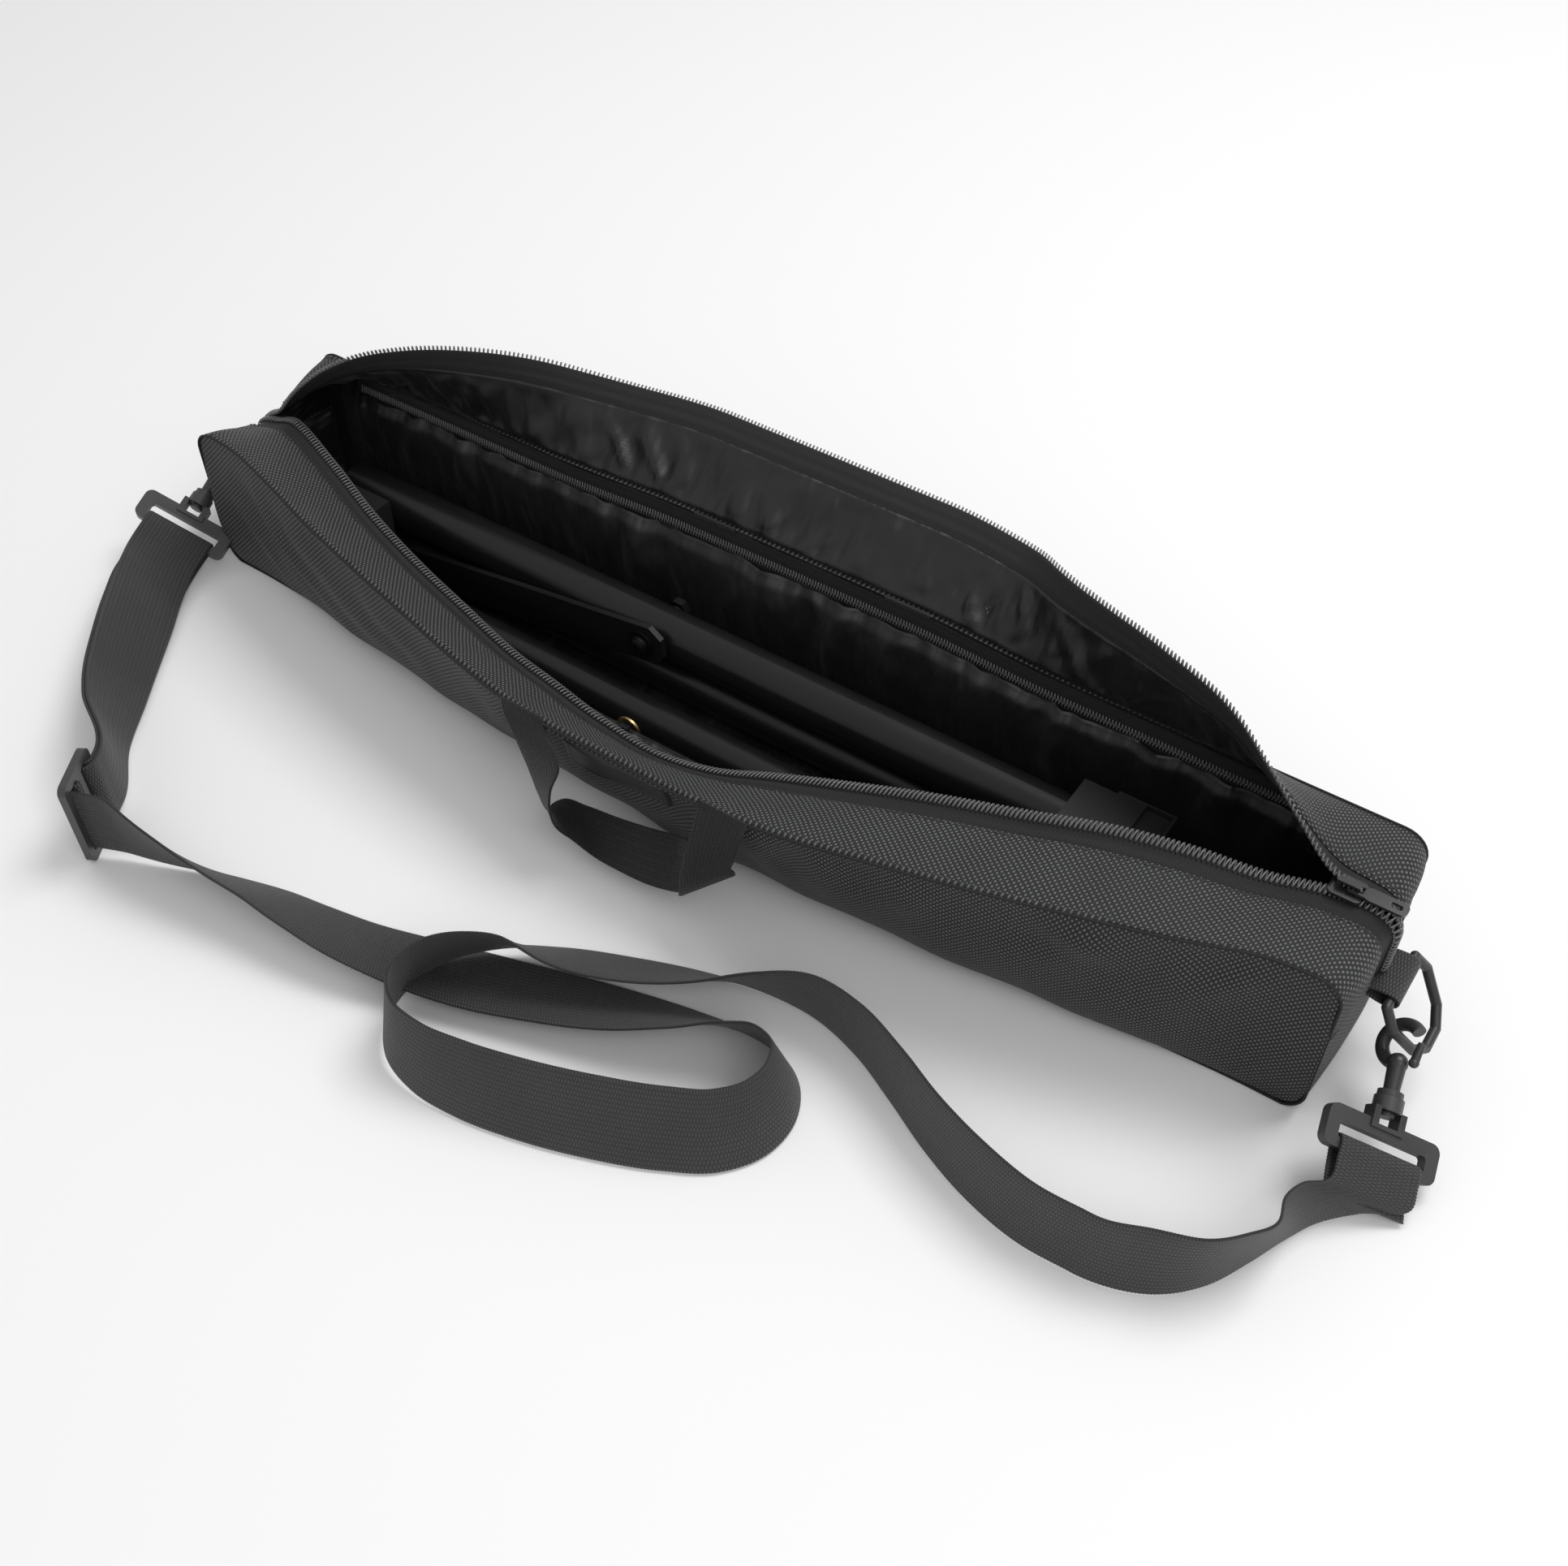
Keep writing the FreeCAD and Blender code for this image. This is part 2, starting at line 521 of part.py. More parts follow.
def flanged_foot():
    """Square plastic end cap over the post, with a thin-walled open tray on its far side."""
    cap = box(POST_RIGHT - 12, POST_RIGHT + 18, POST_Y - 15, POST_Y + 15, POST_Z - 15, POST_Z + 15)
    socket = Part.makeCylinder(TUBE_R + 0.05, 14, Vector(POST_RIGHT - 13, POST_Y, POST_Z), Vector(1, 0, 0))
    cap = cap.cut(socket)
    tray = box(POST_RIGHT + 4, POST_RIGHT + 32, POST_Y - 17, POST_Y + 17, POST_Z + 11, POST_Z + 15)
    hollow = box(POST_RIGHT + 18, POST_RIGHT + 30.8, POST_Y - 15.8, POST_Y + 15.8,
                 POST_Z + 12.2, POST_Z + 16)
    return cap.fuse(tray).cut(hollow).removeSplitter()


nodes["post_foot"] = flanged_foot()


def plug(end_x, y):
    """Plastic end plug pressed into a leg, with a lip the size of the tube."""
    spigot = Part.makeCylinder(LEG_R - TUBE_WALL - 0.05, 10.05, Vector(end_x - 10, y, LOWER_Z),
                               Vector(1, 0, 0))
    lip = Part.makeCylinder(LEG_R, 3, Vector(end_x + 0.05, y, LOWER_Z), Vector(1, 0, 0))
    return spigot.fuse(lip).removeSplitter()


nodes["rear_leg_plug"] = plug(205, REAR_LEG_Y)
nodes["front_leg_plug"] = plug(118, FRONT_LEG_Y)

# hub block between the front leg and the post and rear leg, at the left end
HUB_BACK = POST_Y - TUBE_R - 0.4
hub = box(LEG_PIVOT_X - 14, LEG_PIVOT_X + 14, FRONT_LEG_Y + LEG_R + 0.4, HUB_BACK, 4, 52)
nodes["hub_block"] = hub.cut(cross_hole(LEG_PIVOT_X, LOWER_Z)).cut(cross_hole(LEG_PIVOT_X, POST_Z))


def hex_head(radius, height, at, direction):
    points = [Vector(radius * math.cos(math.radians(60 * i)), radius * math.sin(math.radians(60 * i)), 0)
              for i in range(6)]
    head = Part.Face(closed_wire(points)).extrude(Vector(0, 0, height))
    head.Placement = Placement(at, Rotation(Vector(0, 0, 1), direction))
    return head


def pivot_bolt(x, y_head, y_end, z, radius):
    """Hexagon-headed bolt along +Y with its head at the front."""
    head = hex_head(5.0, 3.6, Vector(x, y_head - 3.6, z), Vector(0, 1, 0))
    shank = Part.makeCylinder(radius, y_end - y_head, Vector(x, y_head, z), Vector(0, 1, 0))
    return head.fuse(shank).removeSplitter()


front_face = FRONT_LEG_Y - LEG_R
nodes["leg_pivot_bolt"] = pivot_bolt(LEG_PIVOT_X, front_face - 0.1, REAR_LEG_Y + LEG_R + 2, LOWER_Z, BOLT_R)
nodes["hub_bolt"] = pivot_bolt(LEG_PIVOT_X, FRONT_LEG_Y + LEG_R + 0.3, POST_Y + TUBE_R + 2, POST_Z, BOLT_R)
nodes["leg_bolt"] = pivot_bolt(BOLT_X, front_face - 1.4, FRONT_LEG_Y + LEG_R + 0.4, LOWER_Z, BOLT_R)
washer = Part.makeCylinder(7.0, 1.2, Vector(BOLT_X, front_face - 1.3, LOWER_Z), Vector(0, 1, 0))
nodes["brass_washer"] = washer.cut(Part.makeCylinder(3.05, 4, Vector(BOLT_X, front_face - 3, LOWER_Z),
                                                     Vector(0, 1, 0)))

# ---- flat brace bar, folded along the post -----------------------------------------------------
BRACE_X = -54.0
BRACE_Z = 42.0
BRACE_LENGTH = 160.0
BRACE_WIDTH = 22.0
BRACE_THICK = 3.0
BRACE_DIP = 9.0
BRACE_Y = POST_Y - TUBE_R - 1.2 - BRACE_THICK


def brace_bar():
    """Flat bar with one clipped-corner end round its screw, running to the left and dipping."""
    end = 13.0
    half = BRACE_WIDTH / 2
    clip = 6.0
    points = [(end, -half + clip), (end, half - clip), (end - clip, half),
              (-BRACE_LENGTH, half), (-BRACE_LENGTH, -half), (end - clip, -half)]
    bar = Part.Face(closed_wire([Vector(x, 0, z) for x, z in points])).extrude(Vector(0, BRACE_THICK, 0))
    bar = bar.cut(Part.makeCylinder(3.05, 20, Vector(0, -8, 0), Vector(0, 1, 0)))
    bar.rotate(Vector(0, 0, 0), Vector(0, 1, 0), -BRACE_DIP)
    bar.translate(Vector(BRACE_X, BRACE_Y, BRACE_Z))
    return bar


def brace_screw():
    """Pan-headed cross-recessed screw through the bar and the post, with a nut at the back."""
    head_y = BRACE_Y - 1.3
    head = Part.makeCylinder(5.2, 2.0, Vector(BRACE_X, head_y - 2.0, BRACE_Z), Vector(0, 1, 0))
    dome = Part.makeSphere(7.0, Vector(BRACE_X, head_y + 3.3, BRACE_Z))
    cap = dome.common(box(BRACE_X - 5, BRACE_X + 5, head_y - 3.7, head_y - 2.0, BRACE_Z - 5, BRACE_Z + 5))
    recess = box(BRACE_X - 2.4, BRACE_X + 2.4, head_y - 4.2, head_y - 2.2, BRACE_Z - 0.55, BRACE_Z + 0.55)
    cross = box(BRACE_X - 0.55, BRACE_X + 0.55, head_y - 4.2, head_y - 2.2, BRACE_Z - 2.4, BRACE_Z + 2.4)
    reach = POST_Y + TUBE_R + 5 - head_y
    shank = Part.makeCylinder(3.0, reach, Vector(BRACE_X, head_y, BRACE_Z), Vector(0, 1, 0))
    return head.fuse([cap, shank]).cut(recess).cut(cross).removeSplitter()


nodes["brace_bar"] = brace_bar()
nodes["brace_screw"] = brace_screw()
brace_washer = Part.makeCylinder(7.5, 1.1, Vector(BRACE_X, BRACE_Y - 1.25, BRACE_Z), Vector(0, 1, 0))
nodes["brace_washer"] = brace_washer.cut(Part.makeCylinder(3.05, 9, Vector(BRACE_X, BRACE_Y - 4, BRACE_Z),
                                                           Vector(0, 1, 0)))
nut = hex_head(5.5, 4.0, Vector(BRACE_X, POST_Y + TUBE_R + 0.2, BRACE_Z), Vector(0, 1, 0))
nodes["brace_nut"] = nut.cut(Part.makeCylinder(3.0, 12, Vector(BRACE_X, POST_Y + TUBE_R - 2, BRACE_Z),
                                               Vector(0, 1, 0)))
stand_post = nodes["stand_post"].cut(cross_hole(BRACE_X, BRACE_Z))
nodes["stand_post"] = stand_post.cut(cross_hole(LEG_PIVOT_X, POST_Z))
bush = Part.makeCylinder(5.0, 1.0, Vector(BRACE_X, BRACE_Y + BRACE_THICK + 0.1, BRACE_Z), Vector(0, 1, 0))
bush = bush.cut(Part.makeCylinder(3.05, 9, Vector(BRACE_X, BRACE_Y, BRACE_Z), Vector(0, 1, 0)))
nodes["brace_spacer"] = bush

# ---- write -------------------------------------------------------------------------------------
os.makedirs("parts", exist_ok=True)
for name, shape in nodes.items():
    shape.exportStep("parts/" + name + ".step")
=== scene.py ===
import math

import bpy
import numpy as np
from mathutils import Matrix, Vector


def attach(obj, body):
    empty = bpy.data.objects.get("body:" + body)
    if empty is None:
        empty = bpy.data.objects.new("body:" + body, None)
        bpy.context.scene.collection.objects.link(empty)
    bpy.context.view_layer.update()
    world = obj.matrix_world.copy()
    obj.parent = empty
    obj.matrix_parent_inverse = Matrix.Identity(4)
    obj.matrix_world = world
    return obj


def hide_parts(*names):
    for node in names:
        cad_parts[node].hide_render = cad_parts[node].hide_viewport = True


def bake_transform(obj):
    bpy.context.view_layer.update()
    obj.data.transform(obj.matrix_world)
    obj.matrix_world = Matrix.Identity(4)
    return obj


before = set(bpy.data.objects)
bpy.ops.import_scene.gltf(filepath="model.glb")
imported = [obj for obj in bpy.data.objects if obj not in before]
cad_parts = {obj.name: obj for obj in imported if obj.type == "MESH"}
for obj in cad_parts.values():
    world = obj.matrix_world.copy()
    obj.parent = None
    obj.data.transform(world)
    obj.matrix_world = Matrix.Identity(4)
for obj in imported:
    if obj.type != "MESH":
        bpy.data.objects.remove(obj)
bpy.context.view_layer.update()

# Lengths below are in millimetres, in the row's frame: X along the bag, Y to the back, Z up.
MM = 0.001
HALF = 315.0            # half the length of the bag
SEAM = 45.0             # half the width between the two top seams
TOP = 85.0
CORNER = 12.0           # radius of the panels' corners, seen from the side
CLOTH_EDGE = 11.0        # the gusset cloth stops this far from the zip's centre line
LINING_EDGE = 14.0
COIL_IN, COIL_OUT = -0.4, 4.2
TAPE_RISE = 0.25        # slope of the tapes, from the cloth edge up to the zip's centre line
WEBBING = 38.0
HANDLE_WEB = 25.0
WALL_PIVOT = (-53.0, -22.2)
BACK_PIVOT = (45.0, 85.0)
FLAP_PIVOT = (-103.31, 237.03)


# ---- curves and shares -------------------------------------------------------------------------
def smooth(t):
    t = np.clip(t, 0.0, 1.0)
    return t * t * (3 - 2 * t)


def spline(points):
    """Smooth curve through (x, value, value, ...) points."""
    table = np.array(points, float)
    xs = table[:, 0]
    ys = table[:, 1:]
    slopes = np.gradient(ys, xs, axis=0)

    def value(x):
        x = np.clip(np.asarray(x, float), xs[0], xs[-1])
        i = np.clip(np.searchsorted(xs, x) - 1, 0, len(xs) - 2)
        h = (xs[i + 1] - xs[i])[..., None]
        t = (x - xs[i])[..., None] / h
        a = ys[i] * (1 + 2 * t) * (1 - t) ** 2 + slopes[i] * h * t * (1 - t) ** 2
        b = ys[i + 1] * (3 - 2 * t) * t ** 2 + slopes[i + 1] * h * t ** 2 * (t - 1)
        out = a + b
        return out[..., 0] if out.shape[-1] == 1 else out

    return value


# opening angles of the two sides of the mouth, and tilt of the front half of the top gusset
wall_angle = spline([(-318, 0), (-290, 0.6), (-250, 6), (-210, 12.4), (-170, 17.6), (-130, 22.3),
                     (-90, 26.8), (-50, 30), (0, 30.5), (50, 30.4), (90, 28.4), (130, 24.3),
                     (170, 19.7), (210, 14.2), (250, 8.1), (285, 1.5), (318, 0)])
flap_tilt = spline([(-318, 0), (-290, -1), (-250, -9), (-210, -17), (-170, -22.5), (-130, -25.5),
                    (-90, -28), (-60, -28), (-30, -32), (0, -35.5), (30, -29.5), (60, -17),
                    (90, -7), (130, 1.5), (170, 7), (210, 11), (240, 7), (270, -3), (295, -2),
                    (318, 0)])
back_angle = spline([(-318, 0), (-305, -4), (-290, -16), (-270, -40), (-250, -59), (-230, -73),
                     (-190, -97), (-150, -120), (-125, -132), (-90, -136), (0, -137), (90, -135),
                     (110, -130), (130, -113), (150, -101), (190, -83), (230, -62), (250, -44),
                     (270, -24), (290, -4), (305, 0)])

# share points along the bag: how far each cross-section is meant to follow its moving body as the mouth
# closes; only lengths at 0 or 1 are attached
WALL_SHARE = [(-300, 0.0), (-190, 0.50), (-50, 1.0), (60, 1.0), (190, 0.54), (292, 0.0)]
FLAP_SHARE = [(-300, 0.0), (-190, 0.50), (-50, 1.0), (60, 0.93), (190, 0.50), (292, 0.0)]
BACK_SHARE = [(-308, 0.0), (-230, 0.56), (-120, 1.0), (105, 1.0), (230, 0.48), (290, 0.0)]


def back_lean(x):
    """The back panel's top edge leans out by this much in the middle of the open bag."""
    return 4.3 * smooth((150 - np.abs(x)) / 90)


def turn(y, z, pivot, degrees):
    a = np.radians(degrees)
    dy = y - pivot[0]
    dz = z - pivot[1]
    return (pivot[0] + dy * np.cos(a) - dz * np.sin(a),
            pivot[1] + dy * np.sin(a) + dz * np.cos(a))


def on_wall(x, y, z):
    """Point of the closed front panel, carried to the open bag."""
    y, z = turn(y, z, WALL_PIVOT, wall_angle(x))
    return np.stack([x + 0 * y, y, z], -1)


def dip(x, y):
    """The closed zip runs lower than the seams, most at the left end, where it rounds the corner."""
    x = np.clip(x, -HALF, HALF)
    drop = 10.0 * (0.5 - x / (2 * HALF)) + 8.0 * smooth((-284 - x) / 24)
    return drop * (1 - np.abs(y) / SEAM)


def on_front_flap(x, y, z):
    """Point of the closed front half of the top gusset: it hangs from the front seam and tilts."""
    seam_y, seam_z = turn(-SEAM, TOP, WALL_PIVOT, wall_angle(x))
    y, z = turn(y + SEAM, z - TOP, (0, 0), flap_tilt(x))
    return np.stack([x + 0 * y, seam_y + y, seam_z + z], -1)


def on_back_flap(x, y, z):
    """Point of the closed back half of the top gusset: it turns up about the back seam."""
    lean = back_lean(x)
    y = SEAM - (SEAM - y) * (1 + lean / SEAM)
    y, z = turn(y, z, BACK_PIVOT, back_angle(x))
    return np.stack([x + 0 * y, y + lean, z], -1)


def outline(x):
    """Lowest and highest Z of a side panel at x, with rounded corners."""
    over = np.clip(np.abs(x) - (HALF - CORNER), 0, CORNER)
    cut = CORNER - np.sqrt(np.maximum(CORNER ** 2 - over ** 2, 0))
    return cut, TOP - cut


# ---- wrinkles ------------------------------------------------------------------------------------
def waves(u, v, long_u, long_v, count, seed):
    """Smooth random field from a few crossing waves; long_u and long_v are typical wavelengths."""
    r = np.random.default_rng(seed)
    total = 0
    for _ in range(count):
        ku = 2 * math.pi / (long_u * r.uniform(0.6, 1.7)) * r.choice([-1, 1])
        kv = 2 * math.pi / (long_v * r.uniform(0.6, 1.7)) * r.choice([-1, 1])
        total = total + np.sin(u * ku + v * kv + r.uniform(0, 6.28))
    return total / math.sqrt(count)


def folds(u, v, marks):
    """Sum of soft ridges. Each mark is (u0, v0, u1, v1, width, height) along a line."""
    total = 0
    for u0, v0, u1, v1, width, height in marks:
        du, dv = u1 - u0, v1 - v0
        length = math.hypot(du, dv)
        along = ((u - u0) * du + (v - v0) * dv) / length
        across = ((u - u0) * dv - (v - v0) * du) / length
        ends = smooth(along / (0.35 * length)) * smooth((length - along) / (0.45 * length))
        ridge = np.exp(-(across / width) ** 2) - 0.45 * np.exp(-((across - 1.7 * width) / width) ** 2)
        total = total + height * ends * ridge
    return total


# ---- mesh building -------------------------------------------------------------------------------
class Shape:
    """Collects grids of points and turns them into one mesh."""

    def __init__(self):
        self.points = []
        self.quads = []
        self.maps = []
        self.slots = []
        self.count = 0

    def grid(self, points, uv=None, wrap_u=False, wrap_v=False, slot=0, flip=False):
        nu, nv = points.shape[:2]
        if uv is None:
            uv = np.zeros((nu + 1, nv + 1, 2))
        i, j = np.meshgrid(np.arange(nu if wrap_u else nu - 1),
                           np.arange(nv if wrap_v else nv - 1), indexing="ij")
        corners = [(i, j), (i + 1, j), (i + 1, j + 1), (i, j + 1)]
        if flip:
            corners = corners[::-1]
        index = [(a % nu) * nv + (b % nv) + self.count for a, b in corners]
        self.quads.append(np.stack(index, -1).reshape(-1, 4))
        self.maps.append(np.stack([uv[a, b] for a, b in corners], -2).reshape(-1, 4, 2))
        self.slots.append(np.full(self.quads[-1].shape[0], slot))
        self.points.append(points.reshape(-1, 3))
        self.count += nu * nv

    def shell(self, outer, inner, uv, slots=(0, 1)):
        """Two sheets of the same grid size joined round their edges into one closed skin."""
        nu, nv = outer.shape[:2]
        start = self.count
        self.grid(outer, uv, slot=slots[0])
        self.grid(inner, uv, slot=slots[1], flip=True)
        index = np.arange(nu * nv).reshape(nu, nv)
        ring = np.concatenate([index[:, 0], index[-1, 1:], index[-2::-1, -1], index[0, -2:0:-1]])
        flat = uv[:nu, :nv].reshape(-1, 2)
        a = ring
        b = np.roll(ring, -1)
        self.quads.append(np.stack([b + start, a + start, a + start + nu * nv, b + start + nu * nv], -1))
        self.maps.append(np.stack([flat[b], flat[a], flat[a], flat[b]], -2))
        self.slots.append(np.full(len(a), slots[0]))

    def tube(self, path, across, radius, sides=8, closed=False):
        """Round rod along a row of points, with flat closed ends; across is a rough side direction."""
        path = np.asarray(path, float)
        if closed:
            step = np.roll(path, -1, 0) - np.roll(path, 1, 0)
        else:
            step = np.gradient(path, axis=0)
        step = step / np.linalg.norm(step, axis=1, keepdims=True)
        side = np.cross(step, np.broadcast_to(np.asarray(across, float), step.shape))
        side = side / np.linalg.norm(side, axis=1, keepdims=True)
        other = np.cross(step, side)
        angle = np.arange(sides) * 2 * math.pi / sides
        radius = np.broadcast_to(np.asarray(radius, float), (len(path),))[:, None, None]
        ring = side[:, None] * np.cos(angle)[None, :, None] + other[:, None] * np.sin(angle)[None, :, None]
        points = path[:, None] + ring * radius
        first = self.count
        self.grid(points, wrap_u=closed, wrap_v=True)
        if not closed:
            last = first + (len(path) - 1) * sides
            self.cap([first + k for k in range(sides)][::-1])
            self.cap([last + k for k in range(sides)])

    def cap(self, ring):
        """Closes a ring of an even number of points with quads."""
        n = len(ring)
        faces = []
        for k in range(n // 2 - 1):
            faces.append([ring[k], ring[k + 1], ring[n - 2 - k], ring[n - 1 - k]])
        self.quads.append(np.array(faces))
        self.maps.append(np.zeros((len(faces), 4, 2)))
        self.slots.append(np.zeros(len(faces), int))

    def build(self, name, materials, sharp=None):
        mesh = bpy.data.meshes.new(name)
        points = np.concatenate(self.points) * MM
        quads = np.concatenate(self.quads)
        mesh.from_pydata(points.tolist(), [], quads.tolist())
        layer = mesh.uv_layers.new(name="UVMap")
        layer.data.foreach_set("uv", (np.concatenate(self.maps) * MM).astype(np.float32).ravel())
        mesh.polygons.foreach_set("material_index", np.concatenate(self.slots).astype(np.int32))
        for m in materials:
            mesh.materials.append(m)
        mesh.shade_smooth()
        if sharp:
            mesh.set_sharp_from_angle(angle=math.radians(sharp))
        mesh.update()
        obj = bpy.data.objects.new(name, mesh)
        bpy.context.scene.collection.objects.link(obj)
        return obj


def part_of(obj, name, keep):
    """New object with only the kept faces, shaded as in the whole."""
    whole = obj.data
    count = len(whole.vertices)
    points = np.empty(count * 3)
    whole.vertices.foreach_get("co", points)
    normals = np.empty(count * 3)
    whole.vertex_normals.foreach_get("vector", normals)
    quads = np.empty(len(whole.polygons) * 4, np.int32)
    whole.polygons.foreach_get("vertices", quads)
    uv = np.empty(len(whole.loops) * 2, np.float32)
    whole.uv_layers[0].data.foreach_get("uv", uv)
    slots = np.empty(len(whole.polygons), np.int32)
    whole.polygons.foreach_get("material_index", slots)
    quads = quads.reshape(-1, 4)[keep]
    used, new = np.unique(quads, return_inverse=True)
    mesh = bpy.data.meshes.new(name)
    mesh.from_pydata(points.reshape(-1, 3)[used].tolist(), [], new.reshape(-1, 4).tolist())
    layer = mesh.uv_layers.new(name="UVMap")
    layer.data.foreach_set("uv", uv.reshape(-1, 4, 2)[keep].ravel())
    mesh.polygons.foreach_set("material_index", slots[keep])
    for m in whole.materials:
        mesh.materials.append(m)
    mesh.shade_smooth()
    mesh.normals_split_custom_set_from_vertices(normals.reshape(-1, 3)[used].tolist())
    mesh.update()
    piece = bpy.data.objects.new(name, mesh)
    bpy.context.scene.collection.objects.link(piece)
    return piece


def centre_x(obj):
    count = len(obj.data.polygons)
    centres = np.empty(count * 3)
    obj.data.polygons.foreach_get("center", centres)
    return centres.reshape(-1, 3)[:, 0] / MM


def share_out(obj, body, shares, nodes=()):
    """Cuts a piece at the share points; lengths with share 0 at both ends go with the bag, 1 at both ends
    with the body, the rest stay in place unparented.
    """
    centres = centre_x(obj)
    edges = [(-1e9, shares[0][1])] + list(shares) + [(1e9, shares[-1][1])]
    pieces = []
    for k in range(len(edges) - 1):
        (x0, w0), (x1, w1) = edges[k], edges[k + 1]
        keep = (centres >= x0) & (centres < x1)
        if not keep.any():
            continue
        piece = part_of(obj, f"{obj.name}_{k}", keep)
        if w0 == w1 and w0 in (0.0, 1.0):
            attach(piece, "bag" if w0 == 0.0 else body)
        else:
            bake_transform(piece)
        pieces.append(piece)
    bpy.data.objects.remove(obj)
    for node in nodes:
        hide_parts(node)
    return pieces


def place(obj, body, nodes=()):
    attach(obj, body)
    for node in nodes:
        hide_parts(node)
    return obj


# ---- materials -----------------------------------------------------------------------------------
class Nodes:
    """Short way to wire a node tree."""

    def __init__(self, name):
        self.material = bpy.data.materials.new(name)
        self.material.use_nodes = True
        self.tree = self.material.node_tree
        self.bsdf = self.tree.nodes["Principled BSDF"]

    def new(self, kind, **values):
        node = self.tree.nodes.new(kind)
        for key, value in values.items():
            setattr(node, key, value)
        return node

    def link(self, source, target):
        self.tree.links.new(source, target)

    def math(self, operation, a, b=None, c=None):
        node = self.new("ShaderNodeMath", operation=operation)
        for k, value in enumerate((a, b, c)):
            if value is None:
                continue
            if isinstance(value, (int, float)):
                node.inputs[k].default_value = value
            else:
                self.link(value, node.inputs[k])
        return node.outputs[0]

    def uv(self):
        node = self.new("ShaderNodeUVMap")
        node.uv_map = "UVMap"
        split = self.new("ShaderNodeSeparateXYZ")
        self.link(node.outputs[0], split.inputs[0])
        return split.outputs[0], split.outputs[1], node.outputs[0]

    def place(self):
        return self.new("ShaderNodeTexCoord").outputs["Object"]

    def noise(self, vector, scale, detail=3.0, rough=0.5):
        node = self.new("ShaderNodeTexNoise")
        node.inputs["Scale"].default_value = scale
        node.inputs["Detail"].default_value = detail
        node.inputs["Roughness"].default_value = rough
        self.link(vector, node.inputs["Vector"])
        return node.outputs["Fac"]

    def mix(self, factor, a, b):
        node = self.new("ShaderNodeMix", data_type="RGBA")
        if isinstance(factor, (int, float)):
            node.inputs[0].default_value = factor
        else:
            self.link(factor, node.inputs[0])
        for socket, value in ((node.inputs[6], a), (node.inputs[7], b)):
            if isinstance(value, tuple):
                socket.default_value = (*value, 1.0)
            else:
                self.link(value, socket)
        return node.outputs[2]

    def range(self, value, low, high):
        """A 0 to 1 value carried to low to high."""
        node = self.new("ShaderNodeMapRange")
        node.inputs[3].default_value = low
        node.inputs[4].default_value = high
        self.link(value, node.inputs[0])
        return node.outputs[0]

    def bump(self, height, distance, strength=1.0, normal=None):
        node = self.new("ShaderNodeBump")
        node.inputs["Distance"].default_value = distance
        node.inputs["Strength"].default_value = strength
        self.link(height, node.inputs["Height"])
        if normal is not None:
            self.link(normal, node.inputs["Normal"])
        return node.outputs[0]

    def finish(self, color=None, rough=None, normal=None, **inputs):
        if color is not None:
            if isinstance(color, tuple):
                self.bsdf.inputs["Base Color"].default_value = (*color, 1.0)
            else:
                self.link(color, self.bsdf.inputs["Base Color"])
        if rough is not None:
            if isinstance(rough, (int, float)):
                self.bsdf.inputs["Roughness"].default_value = rough
            else:
                self.link(rough, self.bsdf.inputs["Roughness"])
        if normal is not None:
            self.link(normal, self.bsdf.inputs["Normal"])
        for key, value in inputs.items():
            self.bsdf.inputs[key.replace("_", " ")].default_value = value
        return self.material


def grey(value, blue=0.0):
    return (value, value * (1 + blue / 3), value * (1 + blue))


def woven(name, pitch, low, high, depth, rough=0.62, sheen=0.1, blue=0.05, spec=0.5):
    """Plain or basket weave: yarns over and under in a chequer. The colour follows the yarn height:
    painted highlight on the yarn tops, painted shade in the gaps and on the sunken weft.
    """
    n = Nodes(name)
    u, v, vector = n.uv()
    wobble = n.noise(vector, 180.0, 2.0)
    u = n.math("ADD", n.math("MULTIPLY", u, 1 / (pitch * MM)), n.math("MULTIPLY", wobble, 0.35))
    v = n.math("ADD", n.math("MULTIPLY", v, 1 / (pitch * MM)), n.math("MULTIPLY", wobble, 0.35))
    across = n.math("ABSOLUTE", n.math("SINE", n.math("MULTIPLY", u, math.pi)))
    along = n.math("ABSOLUTE", n.math("SINE", n.math("MULTIPLY", v, math.pi)))
    odd = n.math("ABSOLUTE", n.math("MODULO", n.math("ADD", n.math("FLOOR", u), n.math("FLOOR", v)), 2.0))
    warp = n.math("MULTIPLY", n.math("POWER", across, 0.8), n.math("POWER", along, 0.35))
    weft = n.math("MULTIPLY", n.math("POWER", along, 0.8), n.math("POWER", across, 0.35))
    height = n.math("ADD", n.math("MULTIPLY", odd, warp),
                    n.math("MULTIPLY", n.math("SUBTRACT", 1.0, odd), n.math("MULTIPLY", weft, 0.15)))
    patch = n.noise(vector, 22.0, 4.0)
    # colour: yarn height as painted highlight and painted shade, times a random patchy tone
    painted_yarn_light_and_tone = n.math("MULTIPLY", height, n.range(patch, 0.75, 1.2))
    color = n.mix(painted_yarn_light_and_tone, grey(low, blue), grey(high, blue))
    fine = n.noise(vector, 2600.0, 2.0)
    total = n.math("ADD", height, n.math("MULTIPLY", fine, 0.25))
    return n.finish(color, n.range(patch, rough - 0.06, rough + 0.06), n.bump(total, depth * MM),
                    Sheen_Weight=sheen, Sheen_Roughness=0.5, Specular_IOR_Level=spec)


